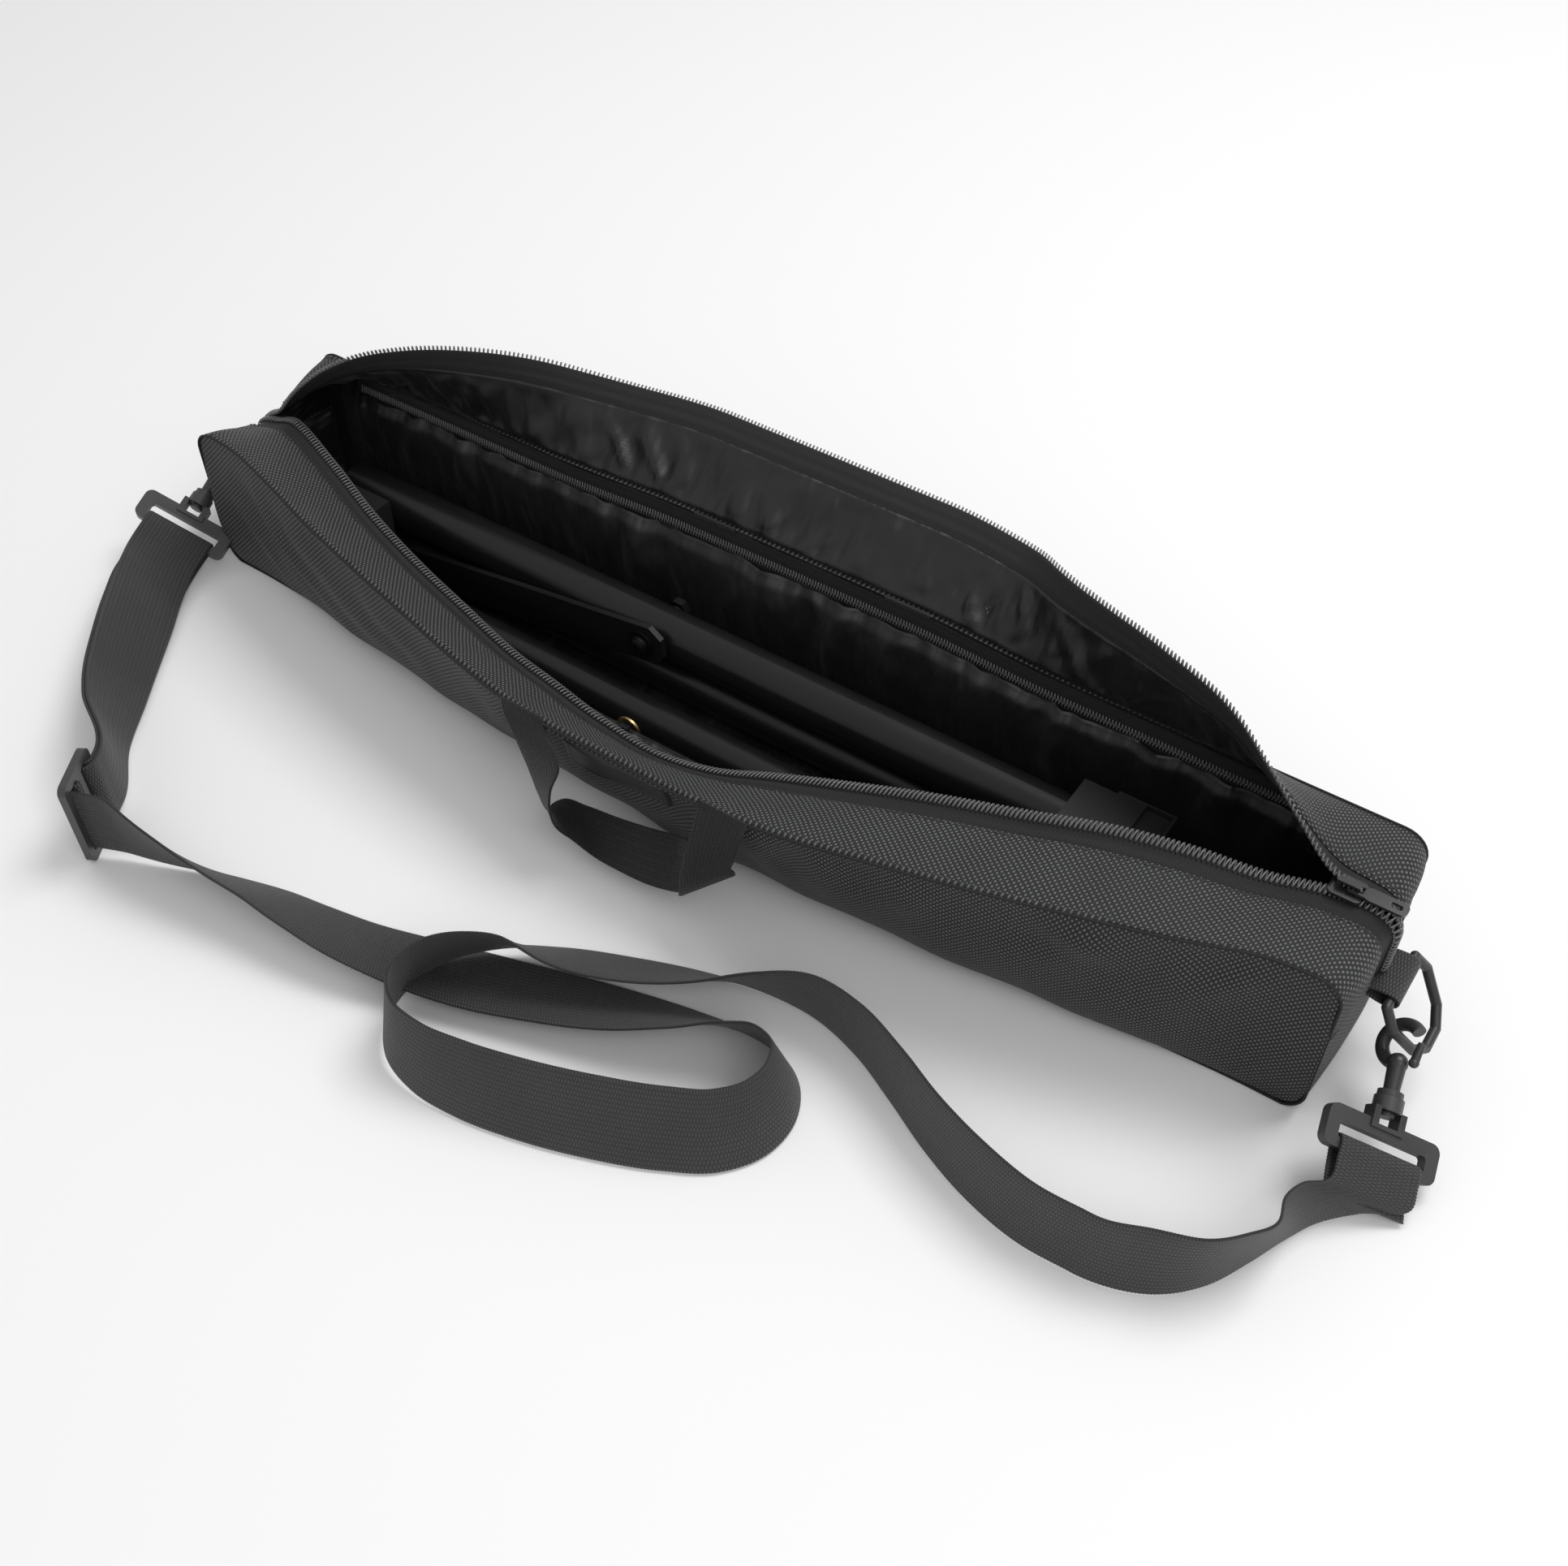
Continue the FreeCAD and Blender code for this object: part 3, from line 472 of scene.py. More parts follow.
def satin(name, value, rough, wave=0.7):
    """Thin polyester lining: fine diagonal twill with a soft shine."""
    n = Nodes(name)
    u, v, vector = n.uv()
    diagonal = n.math("ADD", u, v)
    twill = n.math("ABSOLUTE", n.math("SINE", n.math("MULTIPLY", diagonal, math.pi / (wave * MM))))
    cloud = n.noise(vector, 60.0, 4.0)
    long_way = n.new("ShaderNodeCombineXYZ")
    n.link(u, long_way.inputs[0])
    n.link(n.math("MULTIPLY", v, 0.35), long_way.inputs[1])
    wide = n.noise(long_way.outputs[0], 46.0, 1.0, 0.4)
    tight = n.noise(long_way.outputs[0], 130.0, 1.0, 0.4)
    soft = n.bump(n.math("ADD", wide, n.math("MULTIPLY", tight, 0.4)), 6.5 * MM)
    color = n.mix(cloud, grey(value * 0.8), grey(value * 1.25))
    return n.finish(color, n.range(cloud, rough - 0.06, rough + 0.08), n.bump(twill, 0.06 * MM, 1.0, soft),
                    Specular_IOR_Level=0.55, Sheen_Weight=0.05, Sheen_Roughness=0.4)


def ribbed(name, low, high, rib=1.35, column=2.1, depth=0.28, rough=0.6):
    """Webbing: ribs across the strap, broken by the warp columns that run along it."""
    n = Nodes(name)
    u, v, vector = n.uv()
    shift = n.math("MULTIPLY", n.math("FLOOR", n.math("MULTIPLY", v, 1 / (column * MM))), 0.5)
    rows = n.math("ADD", n.math("MULTIPLY", u, 1 / (rib * MM)), shift)
    bumps = n.math("ABSOLUTE", n.math("SINE", n.math("MULTIPLY", rows, math.pi)))
    bars = n.math("ABSOLUTE", n.math("SINE", n.math("MULTIPLY", v, math.pi / (column * MM))))
    height = n.math("MULTIPLY", n.math("POWER", bumps, 0.7), n.math("POWER", bars, 0.4))
    cloud = n.noise(vector, 40.0, 4.0)
    # colour follows the rib height: painted shade between ribs and columns, painted highlight on rib tops,
    # times a random cloudy tone
    color = n.mix(n.math("MULTIPLY", height, n.range(cloud, 0.7, 1.2)), grey(low), grey(high))
    fine = n.math("ADD", height, n.math("MULTIPLY", n.noise(vector, 2400.0, 2.0), 0.2))
    return n.finish(color, rough, n.bump(fine, depth * MM), Sheen_Weight=0.12, Sheen_Roughness=0.5,
                    Specular_IOR_Level=0.4)


def herringbone(name, low, high, pitch=1.1, block=2.4):
    """Zip tape: slanted rows that change direction from column to column."""
    n = Nodes(name)
    u, v, vector = n.uv()
    column = n.math("PINGPONG", v, block * MM)
    rows = n.math("MULTIPLY", n.math("ADD", u, column), math.pi / (pitch * MM))
    height = n.math("ABSOLUTE", n.math("SINE", rows))
    # colour follows the rows' height: painted shade in the grooves, painted highlight on the raised rows
    color = n.mix(height, grey(low), grey(high))
    return n.finish(color, 0.65, n.bump(height, 0.16 * MM), Sheen_Weight=0.03, Specular_IOR_Level=0.3)


def moulded(name, value, rough, grain=0.03, spec=0.5, coat=0.0):
    """Plastic, rubber or paint: fine grain, cloudy gloss, and colour lighter on sharp edges."""
    n = Nodes(name)
    vector = n.place()
    cloud = n.noise(vector, 35.0, 5.0)
    fine = n.noise(vector, 1500.0, 3.0)
    edge = n.new("ShaderNodeNewGeometry").outputs["Pointiness"]
    # colour made lighter where pointiness is high, on sharp edges
    edge_pale = n.math("MULTIPLY", n.math("MAXIMUM", n.math("SUBTRACT", edge, 0.52), 0.0), 6.0)
    color = n.mix(cloud, grey(value * 0.85), grey(value * 1.2))
    color = n.mix(n.math("MINIMUM", edge_pale, 0.5), color, grey(value * 2.2))
    normal = n.bump(n.math("ADD", fine, n.math("MULTIPLY", cloud, 0.5)), grain * MM)
    return n.finish(color, n.range(cloud, rough - 0.08, rough + 0.08), normal,
                    Specular_IOR_Level=spec, Coat_Weight=coat, Coat_Roughness=0.15)


def metal(name, color, rough):
    """Plated or bare metal with faint turning marks and cloudy gloss."""
    n = Nodes(name)
    vector = n.place()
    cloud = n.noise(vector, 160.0, 4.0)
    fine = n.noise(vector, 3000.0, 2.0)
    shade = n.mix(cloud, tuple(c * 0.7 for c in color), tuple(min(1.0, c * 1.15) for c in color))
    return n.finish(shade, n.range(cloud, rough - 0.07, rough + 0.1), n.bump(fine, 0.02 * MM),
                    Metallic=1.0)


# in OUTER, WEB, WEB_DARK and TAPE, low is painted shade in the grooves and high is painted highlight on
# the raised yarns
OUTER = woven("outer_cloth", 1.35, 0.001, 0.150, 0.55, sheen=0.03, spec=0.3)
OUTER_EDGE = moulded("seam_cloth", 0.006, 0.75, grain=0.12)
LINING = satin("lining", 0.006, 0.36)
WEB = ribbed("webbing", 0.004, 0.050)
WEB_DARK = ribbed("handle_webbing", 0.001, 0.008, rib=1.2)
TAPE = herringbone("zip_tape", 0.003, 0.020)
COIL = moulded("coil_nylon", 0.110, 0.28, grain=0.01)
THREAD = moulded("thread", 0.022, 0.55, grain=0.05)
ACETAL = moulded("acetal", 0.028, 0.38, grain=0.02)
GLOSS = moulded("gloss_paint", 0.012, 0.16, grain=0.005, coat=0.5)
RUBBER = moulded("patch_rubber", 0.012, 0.48, grain=0.05)
PAINT = moulded("stand_paint", 0.004, 0.33, grain=0.012, spec=0.4)
CAP = moulded("stand_plastic", 0.009, 0.42, grain=0.03)
OXIDE = metal("black_oxide", (0.035, 0.035, 0.038), 0.48)
BRASS = metal("brass", (0.50, 0.37, 0.19), 0.38)


# ---- sheets of the bag ---------------------------------------------------------------------------
STEP = 2.5
CROSS_SEAM = 50.0       # height of the seam across each end
QUARTER = CORNER * math.pi / 2
REACH = HALF - CORNER + QUARTER + (TOP - CORNER - CROSS_SEAM)
BELOW = HALF - CORNER + QUARTER + (CROSS_SEAM - CORNER)
columns = np.arange(-HALF, HALF + STEP / 2, STEP)
lengths = np.linspace(-REACH, REACH, 274)


def field(x, v):
    """Matching grids of x and v."""
    return np.meshgrid(x, v, indexing="ij")


def around(d, y, lift):
    """X and Z along the top gusset: d runs along the top, round the corner and down the end."""
    over = np.abs(d) - (HALF - CORNER)
    a = np.clip(over / CORNER, 0, math.pi / 2)
    down = np.maximum(over - QUARTER, 0) / (TOP - CORNER - CROSS_SEAM)
    middle = TOP - dip(d, y) - CORNER
    reach = CORNER + lift + smooth(over / QUARTER) * end_swell(y)
    x = np.sign(d) * (np.minimum(np.abs(d), HALF - CORNER) + reach * np.sin(a))
    z = middle + reach * np.cos(a) - down * (middle - CROSS_SEAM)
    return x, z


def under(e, lift):
    """The same along the bottom gusset, from the middle of the base up to the cross seams."""
    over = np.abs(e) - (HALF - CORNER)
    a = np.clip(over / CORNER, 0, math.pi / 2)
    up = np.maximum(over - QUARTER, 0)
    x = np.sign(e) * (np.minimum(np.abs(e), HALF - CORNER) + (CORNER + lift) * np.sin(a))
    z = CORNER - (CORNER + lift) * np.cos(a) + up
    return x, z


def end_swell(y):
    """How far the ends of the bag stand out."""
    return 3.0 * (1 - (y / SEAM) ** 2)


def belly(x, h):
    """How far the front panel swells, at height share h."""
    size = 9.0 * smooth((HALF - np.abs(x)) / 120) + 2.0
    return size * np.sin(math.pi * np.clip(h, 0, 1) ** 0.62)


wall_marks = [(-292, 80, -190, 22, 7, 2.0), (-280, 84, -215, 30, 6, 1.4), (-262, 84, -140, 30, 9, 1.8),
              (-300, 60, -250, 10, 7, 1.4), (-180, 82, -120, 40, 9, 1.5), (60, 80, 30, 30, 8, 2.2),
              (75, 84, 80, 30, 9, 2.0), (110, 84, 96, 36, 8, 1.5), (150, 84, 142, 45, 10, 1.4),
              (230, 84, 205, 40, 10, 2.0), (252, 82, 262, 30, 8, 1.5), (190, 80, 240, 62, 7, 1.7),
              (290, 78, 260, 50, 7, 1.4), (-20, 40, 40, 60, 9, 1.4), (-60, 78, -90, 30, 8, 1.5)]


def wall_skin(x, h):
    """Closed-bag Y and Z of the front panel's outer face at height share h."""
    low, high = outline(x)
    z = low + 0.6 + (high - low - 0.6) * h
    body = smooth(h / 0.08) * smooth((1 - h) / 0.10) * smooth((HALF - np.abs(x)) / 14)
    soft = waves(x, z, 120, 90, 7, 3) * 1.0 + waves(x, z, 55, 70, 7, 5) * 0.4
    return -SEAM - belly(x, h) - body * (soft + folds(x, z, wall_marks)), z, body


def front_wall():
    x, v = field(columns, np.concatenate([np.linspace(-0.30, 0, 9)[:-1], np.linspace(0, 1, 40)]))
    y, z, body = wall_skin(x, np.clip(v, 0, 1))
    below = np.clip(-v / 0.30, 0, 1)
    y = y + below * 22 * smooth((300 - np.abs(x)) / 30)
    z = z + np.where(v < 0, 1.6 * smooth(-v / 0.1), 0)
    outer = on_wall(x, y, z)
    inner = on_wall(x, y + 2.2 + body * 0.5 * waves(x, z, 40, 40, 5, 8), z + np.where(v < 0, 1.6, 0))
    shape = Shape()
    shape.shell(outer, inner, np.stack([x, z + np.where(v < 0, y, 0)], -1))
    return shape.build("front_panel_cloth", [OUTER, LINING], sharp=50)


def gathers(x, v, side):
    """Gathers of the loose lining: short folds that start at the seam and die out at the tape."""
    if side < 0:
        return -0.6 * waves(x, v * 36, 40, 60, 6, 31)
    r = np.random.default_rng(77)
    total = 0
    at = -292.0
    while at < 292:
        width = r.uniform(2.2, 6.0)
        height = r.uniform(1.0, 3.4)
        slant = r.uniform(-14, 14)
        reach = r.uniform(0.45, 1.15)
        start = r.uniform(-0.1, 0.2)
        centre = at + slant * (1 - v) + 3 * np.sin(v * 5 + at)
        across = (x - centre) / (width * (0.55 + 0.9 * v))
        ridge = np.exp(-across ** 2) - 0.6 * np.exp(-(across - 1.5) ** 2)
        fade = smooth((v - start) / 0.2 + 0.2) * smooth((reach - v) / 0.45)
        total = total - height * ridge * fade
        at += r.uniform(8, 24)
    return total + 0.7 * waves(x, v * 36, 60, 50, 6, 33) + 0.35 * waves(x, v * 36, 16, 30, 8, 35)


def flap(side):
    """Front or back half of the top gusset, from its seam to the folded edge beside the zip."""
    mapping = on_front_flap if side < 0 else on_back_flap
    steps = np.concatenate([np.linspace(0, 0.93, 17), [0.96, 0.985, 1.0]])
    d, v = field(lengths, steps)
    seed = 20 + side
    y = side * (SEAM - (SEAM - CLOTH_EDGE) * v)
    crown = 1.5 * np.sin(math.pi * v) * (1 - 0.55 * v)
    puff = smooth(v / 0.15) * smooth((1 - v) / 0.2)
    rough = waves(d, y, 90, 60, 6, seed) * 0.5 + waves(d, y, 38, 60, 6, seed + 4) * 0.25
    hem = 0.35 * smooth((v - 0.72) / 0.05) - 0.8 * smooth((v - 0.93) / 0.07) ** 2
    x, z = around(d, y, crown + puff * rough + hem)
    outer = mapping(x, y, z)
    y_in = side * (SEAM - 0.4 - (SEAM - 0.4 - LINING_EDGE) * v)
    x, z = around(d, y_in, crown * 0.4 - 2.0 + puff * gathers(d, v, side))
    inner = mapping(x, y_in, z)
    uv = np.stack([d, y], -1)
    shape = Shape()
    if side < 0:
        shape.shell(outer, inner, uv)
    else:
        shape.shell(inner, outer, uv, slots=(1, 0))
    name = "front_gusset_cloth" if side < 0 else "back_gusset_cloth"
    return shape.build(name, [OUTER, LINING], sharp=60)


def bottom_sheet():
    """Base of the bag and the lower part of each end, in one strip between the cross seams."""
    e, v = field(np.linspace(-BELOW, BELOW, 200), np.linspace(-1, 1, 33))
    y = SEAM * v
    turned = smooth((np.abs(e) - (HALF - CORNER)) / QUARTER)
    lift = turned * (end_swell(y) + 0.4 * waves(e, y, 40, 60, 6, 41) * (1 - v ** 2))
    x, z = under(e, lift - 0.15 * (1 - turned))
    outer = np.stack([x, y, z], -1)
    x, z = under(e, lift - 2.2 - 0.3 * waves(e, y, 70, 40, 6, 61) ** 2)
    inner = np.stack([x, y * 0.955, z], -1)
    shape = Shape()
    shape.shell(outer[:, ::-1], inner[:, ::-1], np.stack([e, y], -1)[:, ::-1])
    return shape.build("bottom_gusset_cloth", [OUTER, LINING], sharp=60)


def back_wall():
    x, h = field(columns, np.linspace(0, 1, 36))
    low, high = outline(x)
    z = low + (high - low) * h
    lean = back_lean(x) * (z / TOP) ** 1.5
    swell = 4.0 * np.sin(math.pi * h) * smooth((HALF - np.abs(x)) / 40)
    inside = smooth(h / 0.1) * smooth((1 - h) / 0.1)
    y = SEAM + lean + swell + inside * waves(x, z, 110, 70, 7, 71) * 0.8
    outer = np.stack([x, y, z], -1)
    inner = np.stack([x, SEAM + lean - 2.4 + 0.5 * inside * waves(x, z, 34, 160, 7, 73), z], -1)
    shape = Shape()
    shape.shell(outer[:, ::-1], inner[:, ::-1], np.stack([x, z], -1)[:, ::-1])
    return shape.build("back_panel_cloth", [OUTER, LINING], sharp=60)


def pocket():
    """Loose inner pocket: gathered cloth below the zip band, with a ruffled top edge."""
    x, h = field(np.arange(-308, 308.1, 1.6), np.linspace(0, 1, 44))
    r = np.random.default_rng(88)
    ruffle = 0.6 * waves(x, x * 0, 21, 1e6, 6, 81)
    pleats = waves(x, h * 60, 45, 300, 6, 85) * 1.2
    at = -284.0
    while at < 284:
        width = r.uniform(3.0, 9.0)
        height = r.uniform(0.6, 3.6)
        reach = r.uniform(0.35, 1.0)
        lean = r.uniform(-12, 12)
        across = (x - at - lean * (1 - h)) / (width * (1 + 1.3 * (1 - h)))
        ridge = np.exp(-across ** 2) - 0.55 * np.exp(-(across - 1.6) ** 2)
        pleats = pleats + height * ridge * smooth((h - 1 + reach) / 0.5)
        at += r.uniform(10, 38)
    z = 10 + (71.5 + ruffle - 10) * h
    lean = back_lean(x) * (z / TOP) ** 1.5
    loose = 3.4 + 2.6 * np.sin(math.pi * h ** 1.6)
    free = smooth((306 - np.abs(x)) / 26)
    y = SEAM - 2.6 + lean - np.maximum(free * (loose + pleats * (0.2 + 0.6 * smooth(h / 0.5))), 0.8)
    y = y + 2.2 * smooth((h - 0.9) / 0.1)
    shape = Shape()
    shape.shell(np.stack([x, y, z], -1), np.stack([x, y + 0.5, z], -1), np.stack([x, z], -1),
                slots=(0, 0))
    return shape.build("pocket_cloth", [LINING], sharp=70)


def on_pocket(x, y, z):
    """Carries a flat closed zip to the pocket's opening on the inside of the back panel."""
    up = 74.8 + y
    lean = back_lean(x) * (up / TOP) ** 1.5
    return np.stack([x + 0 * y, SEAM - 3.2 + lean - (z - TOP), up], -1)


def plain(x, y, z):
    return np.stack([x + 0 * y, y, z], -1)


def strip(name, mapping, x_range, y_range, z, thick, material, cells=8, bow=0.0):
    """Flat tape in closed-bag coordinates, carried by mapping."""
    x, v = field(np.arange(x_range[0], x_range[1] + 1, 2.5), np.linspace(0, 1, cells + 1))
    y = y_range[0] + (y_range[1] - y_range[0]) * v
    top = mapping(x, y, z + bow * np.sin(math.pi * v))
    low = mapping(x, y, z - thick + bow * np.sin(math.pi * v))
    shape = Shape()
    shape.shell(top, low, np.stack([x, y], -1), slots=(0, 0))
    return shape.build(name, [material], sharp=60)


# ---- seams and stitches ----------------------------------------------------------------------------
def panel_rim(side):
    """Closed line round the edge of a side panel."""
    arc = np.radians(np.linspace(0, 90, 9))
    flat = np.arange(-(HALF - CORNER), HALF - CORNER + 1, 3.0)
    corners = []
    for sx, sz, turned in ((1, 1, arc[::-1]), (1, -1, arc), (-1, -1, arc[::-1]), (-1, 1, arc)):
        x = sx * (HALF - CORNER + CORNER * np.cos(turned))
        z = TOP / 2 + sz * (TOP / 2 - CORNER + CORNER * np.sin(turned))
        corners.append(np.stack([x, z], -1))
    top = np.stack([flat, 0 * flat + TOP], -1)
    low = np.stack([flat[::-1], 0 * flat], -1)
    ring = np.concatenate([top[:-1], corners[0], corners[1], low[1:-1], corners[2], corners[3][:-1]])
    x, z = ring[:, 0], np.maximum(ring[:, 1], 0.9)
    if side < 0:
        return on_wall(x, 0 * x - SEAM - 0.5, z)
    return plain(x, 0 * x + SEAM + 0.5 + back_lean(x) * (z / TOP) ** 1.5, z)


def rim(side):
    shape = Shape()
    shape.tube(panel_rim(side), (0.0, 1.0, 0.15), 0.65, sides=8, closed=True)
    return shape.build("front_seam" if side < 0 else "back_seam", [OUTER_EDGE])


def cross_seam(side):
    y = np.linspace(-SEAM + 0.5, SEAM - 0.5, 40)
    x = side * (HALF + end_swell(y) - 0.2)
    shape = Shape()
    shape.tube(np.stack([x, y, 0 * y + CROSS_SEAM], -1), (0, 0, 1), 0.6, sides=8)
    return shape.build("cross_seam_left" if side < 0 else "cross_seam_right", [OUTER_EDGE])


def stitches(name, line, normal, pitch=3.4, share=0.66, radius=0.3):
    """Row of separate threads along a dense line of points, each dipping in at both ends."""
    line = np.asarray(line, float)
    normal = np.broadcast_to(np.asarray(normal, float), line.shape)
    length = np.concatenate([[0], np.cumsum(np.linalg.norm(np.diff(line, axis=0), axis=1))])
    shape = Shape()
    t = np.linspace(0, 1, 5)
    for start in np.arange(pitch / 2, length[-1] - pitch, pitch):
        s = start + t * pitch * share
        path = np.stack([np.interp(s, length, line[:, k]) for k in range(3)], -1)
        out = np.stack([np.interp(s, length, normal[:, k]) for k in range(3)], -1)
        path = path + out * (0.5 * np.sin(math.pi * t) - 0.3)[:, None]
        shape.tube(path, out[0], radius, sides=6)
    return shape.build(name, [THREAD])


def flap_stitches(side, y, name):
    mapping = on_front_flap if side < 0 else on_back_flap
    d = lengths
    yy = 0 * d + side * y
    v = (SEAM - y) / (SEAM - CLOTH_EDGE)
    crown = 1.5 * math.sin(math.pi * v) * (1 - 0.55 * v) + 0.35
    x, z = around(d, yy, crown)
    line = mapping(x, yy, z)
    x, z = around(d, yy, crown + 1.0)
    return stitches(name, line, mapping(x, yy, z) - line)


# ---- zips ------------------------------------------------------------------------------------------
def zip_tape(side):
    mapping = on_front_flap if side < 0 else on_back_flap
    d, v = field(lengths[1:-1], np.linspace(0, 1, 9))
    y = side * (1.0 + 13.0 * v)
    lift = TAPE_RISE * np.maximum(CLOTH_EDGE - np.abs(y), 0) - 0.9
    x, z = around(d, y, lift)
    top = mapping(x, y, z)
    x, z = around(d, y, lift - 0.6)
    low = mapping(x, y, z)
    shape = Shape()
    uv = np.stack([d, y], -1)
    if side < 0:
        shape.shell(top, low, uv, slots=(0, 0))
    else:
        shape.shell(low, top, uv, slots=(0, 0))
    return shape.build("front_tape" if side < 0 else "back_tape", [TAPE], sharp=60)


def coil(side, pitch=2.0, steps=10):
    """Nylon coil of one half of the zip; the two halves mesh half a pitch apart."""
    mapping = on_front_flap if side < 0 else on_back_flap
    angle = np.arange(int(2 * (REACH - 4) / pitch * steps)) * 2 * math.pi / steps
    d = -REACH + 4 + (angle / (2 * math.pi) + (0.5 if side > 0 else 0)) * pitch
    y = side * ((COIL_IN + COIL_OUT) / 2 + (COIL_OUT - COIL_IN) / 2 * np.cos(angle))
    x, z = around(d, y, TAPE_RISE * (CLOTH_EDGE - side * y) + 0.1 + 0.75 * np.sin(angle))
    shape = Shape()
    shape.tube(mapping(x, y, z), (1.0, 0.02, 0.03), 0.45, sides=6)
    return shape.build("front_coil" if side < 0 else "back_coil", [COIL])


def pocket_coil(side, pitch=1.6, steps=8):
    angle = np.arange(int(560 / pitch * steps)) * 2 * math.pi / steps
    x = -282 + (angle / (2 * math.pi) + (0.5 if side > 0 else 0)) * pitch
    y = side * (1.0 + 1.3 * np.cos(angle))
    shape = Shape()
    shape.tube(on_pocket(x, y, TOP + 0.6 + 0.6 * np.sin(angle)), (1.0, 0.02, 0.03), 0.36, sides=6)
    return shape.build("pocket_coil_low" if side < 0 else "pocket_coil_high", [COIL])


# ---- webbing ---------------------------------------------------------------------------------------
WEB_PROFILE = [(-1.0, 0.0), (-0.985, 0.75), (-0.93, 1.0), (-0.62, 0.95), (-0.3, 1.0), (0.0, 0.95),
               (0.3, 1.0), (0.62, 0.95), (0.93, 1.0), (0.985, 0.75), (1.0, 0.0), (0.985, -0.75),
               (0.93, -1.0), (0.5, -0.96), (0.0, -1.0), (-0.5, -0.96), (-0.93, -1.0),
               (-0.985, -0.75)]


def webbing(name, left, right, thick, material, rib=1.35):
    """Ribbed webbing between two edge lines, with scalloped edges."""
    middle = (left + right) / 2
    length = np.concatenate([[0], np.cumsum(np.linalg.norm(np.diff(middle, axis=0), axis=1))])
    count = max(8, int(length[-1] / (rib / 3)))
    s = np.linspace(0, length[-1], count)

    def pick(rows):
        return np.stack([np.interp(s, length, rows[:, k]) for k in range(3)], -1)

    a, b = pick(left), pick(right)
    across = b - a
    width = np.linalg.norm(across, axis=1, keepdims=True)
    across = across / width
    normal = np.cross(np.gradient((a + b) / 2, axis=0), across)
    normal = normal / np.linalg.norm(normal, axis=1, keepdims=True)
    phase = np.abs(np.sin(math.pi * s / rib))
    half = width[:, 0] / 2 - 0.25 + 0.30 * phase
    swell = thick / 2 * (0.84 + 0.16 * phase)
    reach = np.array([p[0] for p in WEB_PROFILE])
    rise = np.array([p[1] for p in WEB_PROFILE])
    points = ((a + b)[:, None] / 2 + across[:, None] * (half[:, None] * reach)[..., None]
              + normal[:, None] * (swell[:, None] * rise)[..., None])
    wide = np.append(reach, reach[0])[None, :] * width / 2
    uv = np.stack(np.broadcast_arrays(s[:, None], wide), -1)
    uv = np.concatenate([uv, uv[-1:]])
    shape = Shape()
    shape.grid(points, uv, wrap_v=True)
    n = len(WEB_PROFILE)
    shape.cap([k for k in range(n)][::-1])
    shape.cap([(count - 1) * n + k for k in range(n)])
    return shape.build(name, [material], sharp=75)


def resample(rows, count):
    """Dense rows through a few, spaced by how far the whole row moves."""
    rows = np.array(rows, float)
    chord = np.concatenate([[0], np.cumsum(np.linalg.norm(np.diff(rows, axis=0), axis=1))])
    return spline(np.column_stack([chord, rows]))(np.linspace(0, chord[-1], count))


def standing_band(points, steps):
    """Centres and width directions of webbing given as (x, y, lower z, lean)."""
    rough = np.array(points, float)
    chord = np.concatenate([[0], np.cumsum(np.linalg.norm(np.diff(rough[:, :2], axis=0), axis=1))])
    path = spline(np.column_stack([chord, rough]))(np.linspace(0, chord[-1], steps))
    along = np.gradient(path[:, :2], axis=0)
    along /= np.linalg.norm(along, axis=1, keepdims=True)
    side = np.column_stack([-along[:, 1], along[:, 0], 0 * along[:, 0]])
    lean = np.radians(path[:, 3])[:, None]
    up = np.array([0, 0, 1.0]) * np.cos(lean) + side * np.sin(lean)
    return np.column_stack([path[:, :3] + up * (WEBBING / 2), up])


class HookFrame:
    """Strap frame of a swivel hook: s runs down from the outer bar, n out of the upper face."""

    def __init__(self, eye, down, wide):
        down = np.array(down) / np.linalg.norm(down)
        wide = np.array(wide) - down * np.dot(wide, down)
        self.down = down
        self.wide = wide / np.linalg.norm(wide)
        self.out = -np.cross(self.wide, down)
        self.bar = np.array(eye) + down * BAR

    def row(self, s, n):
        return [*(self.bar + self.down * s + self.out * n), *(-self.wide)]

    def wrap(self):
        """Half a turn of webbing round the outer bar, from the upper face to the lower."""
        turns = np.radians(np.arange(0, 181, 30))
        return [self.row(-0.6 - 3.2 * math.sin(a), 3.6 * math.cos(a)) for a in turns]


BAR = 48.45             # distance from the eye to the middle of the frame's outer bar
GLIDE = np.array([-209.0, -226.0, 24.9])
GLIDE_ALONG = np.array([0.517, -0.856, 0.0])
GLIDE_OUT = np.array([0.856, 0.517, 0.0])
right_hook = HookFrame((338.83, -17.70, 36.01), (0.2205, -0.9021, -0.3709), (0.76, 0.45, -0.36))
left_hook = HookFrame((-338.33, -17.74, 36.04), (0.1136, -0.9294, -0.3511), (0.88, 0.19, -0.43))

